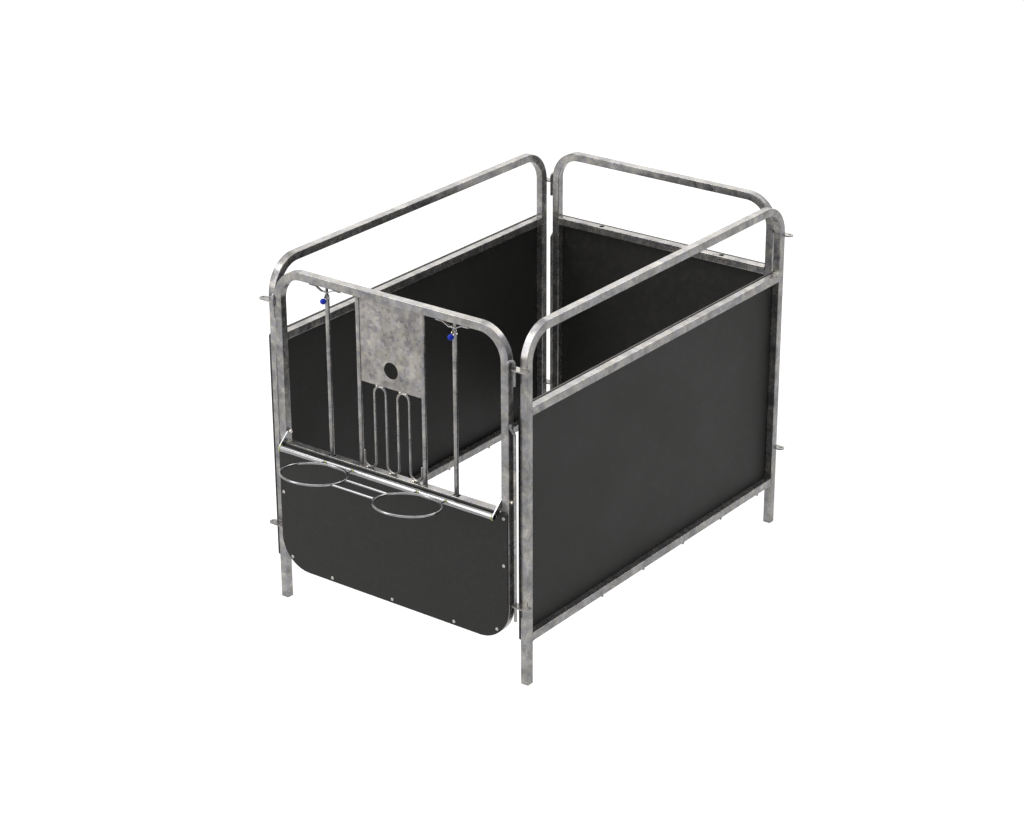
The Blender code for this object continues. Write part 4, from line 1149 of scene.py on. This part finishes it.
run = Vector((0, HOLDER_TUBE_Y - GATE_PLANE, HOLDER_TUBE_Z - HOLDER_PIVOT_Z))
middle = Vector((ARM_X, (HOLDER_TUBE_Y + GATE_PLANE) / 2, (HOLDER_TUBE_Z + HOLDER_PIVOT_Z) / 2))
bpy.ops.mesh.primitive_plane_add(size=1)
arm = bpy.context.object
arm.scale = (ARM_WIDTH, run.length + ARM_WIDTH, 1)
lean = Matrix((run.cross((1, 0, 0)).normalized(), run.normalized(), (1, 0, 0))).transposed()
arm.rotation_euler = lean.to_euler()
arm.location = middle
arm = take("right_flat_arm")
edit()
bpy.ops.mesh.bevel(offset=ARM_WIDTH * 0.4995, segments=12, affect="VERTICES")
bpy.ops.mesh.select_all(action="SELECT")
pull(ARM_THICKNESS, 0, 0)
mend(arm)
drill(arm, (ARM_X, GATE_PLANE, HOLDER_PIVOT_Z), "X", ARM_BOLT_HOLE, BAR_DRILL)
drill(arm, (ARM_X, HOLDER_TUBE_Y, HOLDER_TUBE_Z), "X", ARM_TUBE_HOLE, BAR_DRILL)
soften(arm, 0.0005)
left_arm = copy_of(arm, "left_flat_arm", flip="x")
settle(arm, bright, "holder", "bright_zinc", "right_holder_arm", sharp=50)
settle(left_arm, bright, "holder", "bright_zinc", "left_holder_arm", sharp=50)
seams = [round_seam("arm_seam", (x, HOLDER_TUBE_Y, HOLDER_TUBE_Z), "X", HOLDER_TUBE + 0.0004, 0.0030)
         for x in (-HOLDER_HALF + 0.0004, HOLDER_HALF - 0.0004)]
settle(joined("cross_tube_welds", seams), yellow, "holder", "bright_zinc", sharp=60)


# Bucket rings
# Two 226 mm rings of 8 mm wire, butt welded and tipped up a little at the front. Each stands on the
# tube with two short stubs, and two straight rods join the rings to each other.

RING_RADIUS = 0.113
RING_WIRE = 0.008
RING_PLACES = (-0.193, 0.209)
RING_Y = -0.84748
RING_Z = 0.6522
RING_TILT = math.radians(7.5)
STUB_X = 0.0605
STUB_END_Y = -0.72328
LINKS = {"front": -0.035, "rear": 0.035}
BUTT_PROUD = 1.22
STUB_WELD = 0.0052
WELD_LUMP = 0.0030
LINK_WELD_OUT = 0.0006


def on_ring_plane(y):
    """Height of the rings' tilted middle plane."""
    return RING_Z - (y - RING_Y) * math.tan(RING_TILT)


for side, ring_x in zip(("left", "right"), RING_PLACES):
    bpy.ops.mesh.primitive_torus_add(major_segments=96, minor_segments=16, major_radius=RING_RADIUS,
                                     minor_radius=RING_WIRE / 2)
    ring = take(side + "_wire_ring")
    edit()
    pick(lambda spot: abs(spot.y) < 0.004 and spot.x > 0)
    bpy.ops.transform.resize(value=(BUTT_PROUD, 1, BUTT_PROUD), center_override=(RING_RADIUS, 0, 0))
    hold(ring)
    ring.matrix_world = Matrix.Translation((ring_x, RING_Y, RING_Z)) @ Matrix.Rotation(-RING_TILT, 4, "X")
    bpy.ops.object.transform_apply(location=True, rotation=True, scale=True)
    ring_edge = RING_Y + math.cos(RING_TILT) * math.sqrt(RING_RADIUS ** 2 - STUB_X ** 2)
    blobs = []
    for way in (-1, 1):
        start = Vector((ring_x + way * STUB_X, STUB_END_Y, on_ring_plane(STUB_END_Y)))
        end = Vector((ring_x + way * STUB_X, ring_edge, on_ring_plane(ring_edge)))
        bpy.ops.mesh.primitive_circle_add(vertices=20, radius=RING_WIRE / 2, fill_type="NGON",
                                          location=end, rotation=ACROSS["Y"])
        stub = take("stub")
        edit()
        pull(*(start - end))
        mend(stub)
        cut(ring, stub, "UNION")
        bpy.ops.mesh.primitive_uv_sphere_add(segments=20, ring_count=12, radius=STUB_WELD, location=start)
        bpy.context.object.scale = (1.15, 0.95, 0.80)
        blobs.append(take("stub_weld"))
        for lump in range(3):
            spot = start + Vector((0.0035 * (lump - 1), -0.0012, 0.0016 * (lump % 2)))
            bpy.ops.mesh.primitive_ico_sphere_add(subdivisions=2, radius=WELD_LUMP, location=spot)
            blobs.append(take("stub_weld"))
    settle(ring, bright, "holder", "bright_zinc", side + "_bucket_ring", sharp=50)
    settle(joined(side + "_ring_stub_welds", blobs), yellow, "holder", "bright_zinc", sharp=60)

tacks = []
for name, offset in LINKS.items():
    outer = RING_RADIUS + RING_WIRE / 2
    reach = math.sqrt(outer ** 2 - (abs(offset) - RING_WIRE / 2) ** 2) + WELD_GAP
    y = RING_Y + offset * math.cos(RING_TILT)
    z = on_ring_plane(y)
    ends = [(RING_PLACES[0] + reach, y, z), (RING_PLACES[1] - reach, y, z)]
    link = round_bar(name + "_straight_link", ends, RING_WIRE, "X", sides=20, chamfer=0.0004)
    settle(link, bright, "holder", "bright_zinc", name + "_link_rod", sharp=50)
    for x, way in ((ends[0][0], 1), (ends[1][0], -1)):
        place = (x + way * LINK_WELD_OUT, y, z)
        tacks.append(round_seam("link_tack", place, "X", RING_WIRE + 0.0002, 0.0026))
settle(joined("link_rod_welds", tacks), bright, "holder", "bright_zinc", sharp=60)


# Holder bolts
# An 8 mm bolt with a round domed head goes out through each arm and post to a nut outside, and a short
# stop stud below it carries the arm when the holder is down. They are bright zinc plated.

PIVOT_BOLT = 0.008
PIVOT_HEAD = 0.015
PIVOT_HEAD_HEIGHT = 0.007
PIVOT_SEAT_X = 0.460
PIVOT_DOME = 0.86
PIVOT_END = 0.5044
NUT_X = 0.49915
NUT_HEIGHT = 0.0065
NUT_HOLE = 0.0086
STOP = 0.010
STOP_X = (0.458, 0.4653)
STOP_Y = -0.67408
STOP_Z = 0.6411

head = headed_pin("right_arm_bolt", (PIVOT_END, GATE_PLANE, HOLDER_PIVOT_Z), "X", -1, PIVOT_BOLT,
                  PIVOT_END - PIVOT_SEAT_X, PIVOT_HEAD, PIVOT_HEAD_HEIGHT, PIVOT_DOME)
nut = hexagon("right_arm_nut", (NUT_X, GATE_PLANE, HOLDER_PIVOT_Z), "X", PIVOT_HEAD, NUT_HEIGHT, NUT_HOLE)
stop = round_bar("right_stop_stud", [(STOP_X[0], STOP_Y, STOP_Z), (STOP_X[1], STOP_Y, STOP_Z)],
                 STOP, "X", sides=28, chamfer=0.0014)
for piece, node in ((head, "pivot_bolt"), (nut, "pivot_nut"), (stop, "stop_bolt")):
    twin = copy_of(piece, piece.name.replace("right", "left"), flip="x")
    settle(piece, plated, "gate", "zinc_bolt", "right_" + node, sharp=40)
    settle(twin, plated, "gate", "zinc_bolt", "left_" + node, sharp=40)


# Back panel
# The back is the same loop of tube with a higher mid rail. That rail has two wide holes in its top and
# two small ones in its inner face, and the board below lies on the loop's outer face.

BACK_RAIL_TOP = 1.008
BACK_HOLE_X = 0.271
BACK_TOP_HOLE = 0.020
BACK_FACE_HOLE = 0.006
BACK_BOARD_FRONT = 0.95452

drill(back_loop, (0, BACK_PLANE, LOOP_LOW), "Z", VENT_HOLE, WALL_DRILL)
settle(back_loop, galvanised, "back_panel", "galvanised_tube", "back_frame")
middle = BACK_RAIL_TOP - TUBE / 2
path = [(-RAIL_REACH, BACK_PLANE, middle), (RAIL_REACH, BACK_PLANE, middle)]
back_rail = square_tube("back_cross_rail", path, "X")
for sign in (-1, 1):
    drill(back_rail, (sign * BACK_HOLE_X, BACK_PLANE, BACK_RAIL_TOP), "Z", BACK_TOP_HOLE, WALL_DRILL)
    drill(back_rail, (sign * BACK_HOLE_X, BACK_PLANE - TUBE / 2, middle), "Y", BACK_FACE_HOLE, WALL_DRILL)
settle(back_rail, galvanised, "back_panel", "galvanised_tube", "back_mid_rail")
seams = [square_seam("back_rail_seam", (x, BACK_PLANE, middle), "X",
                     lambda spot: spot.y > BACK_PLANE + TUBE / 3) for x in (-RAIL_REACH, RAIL_REACH)]
settle_welds("back_rail_welds", seams, "back_panel")
back_board = loop_board("back_board_sheet", BACK_BOARD_FRONT, BACK_RAIL_TOP)
settle(back_board, board_black, "back_panel", "black_board", "back_board")
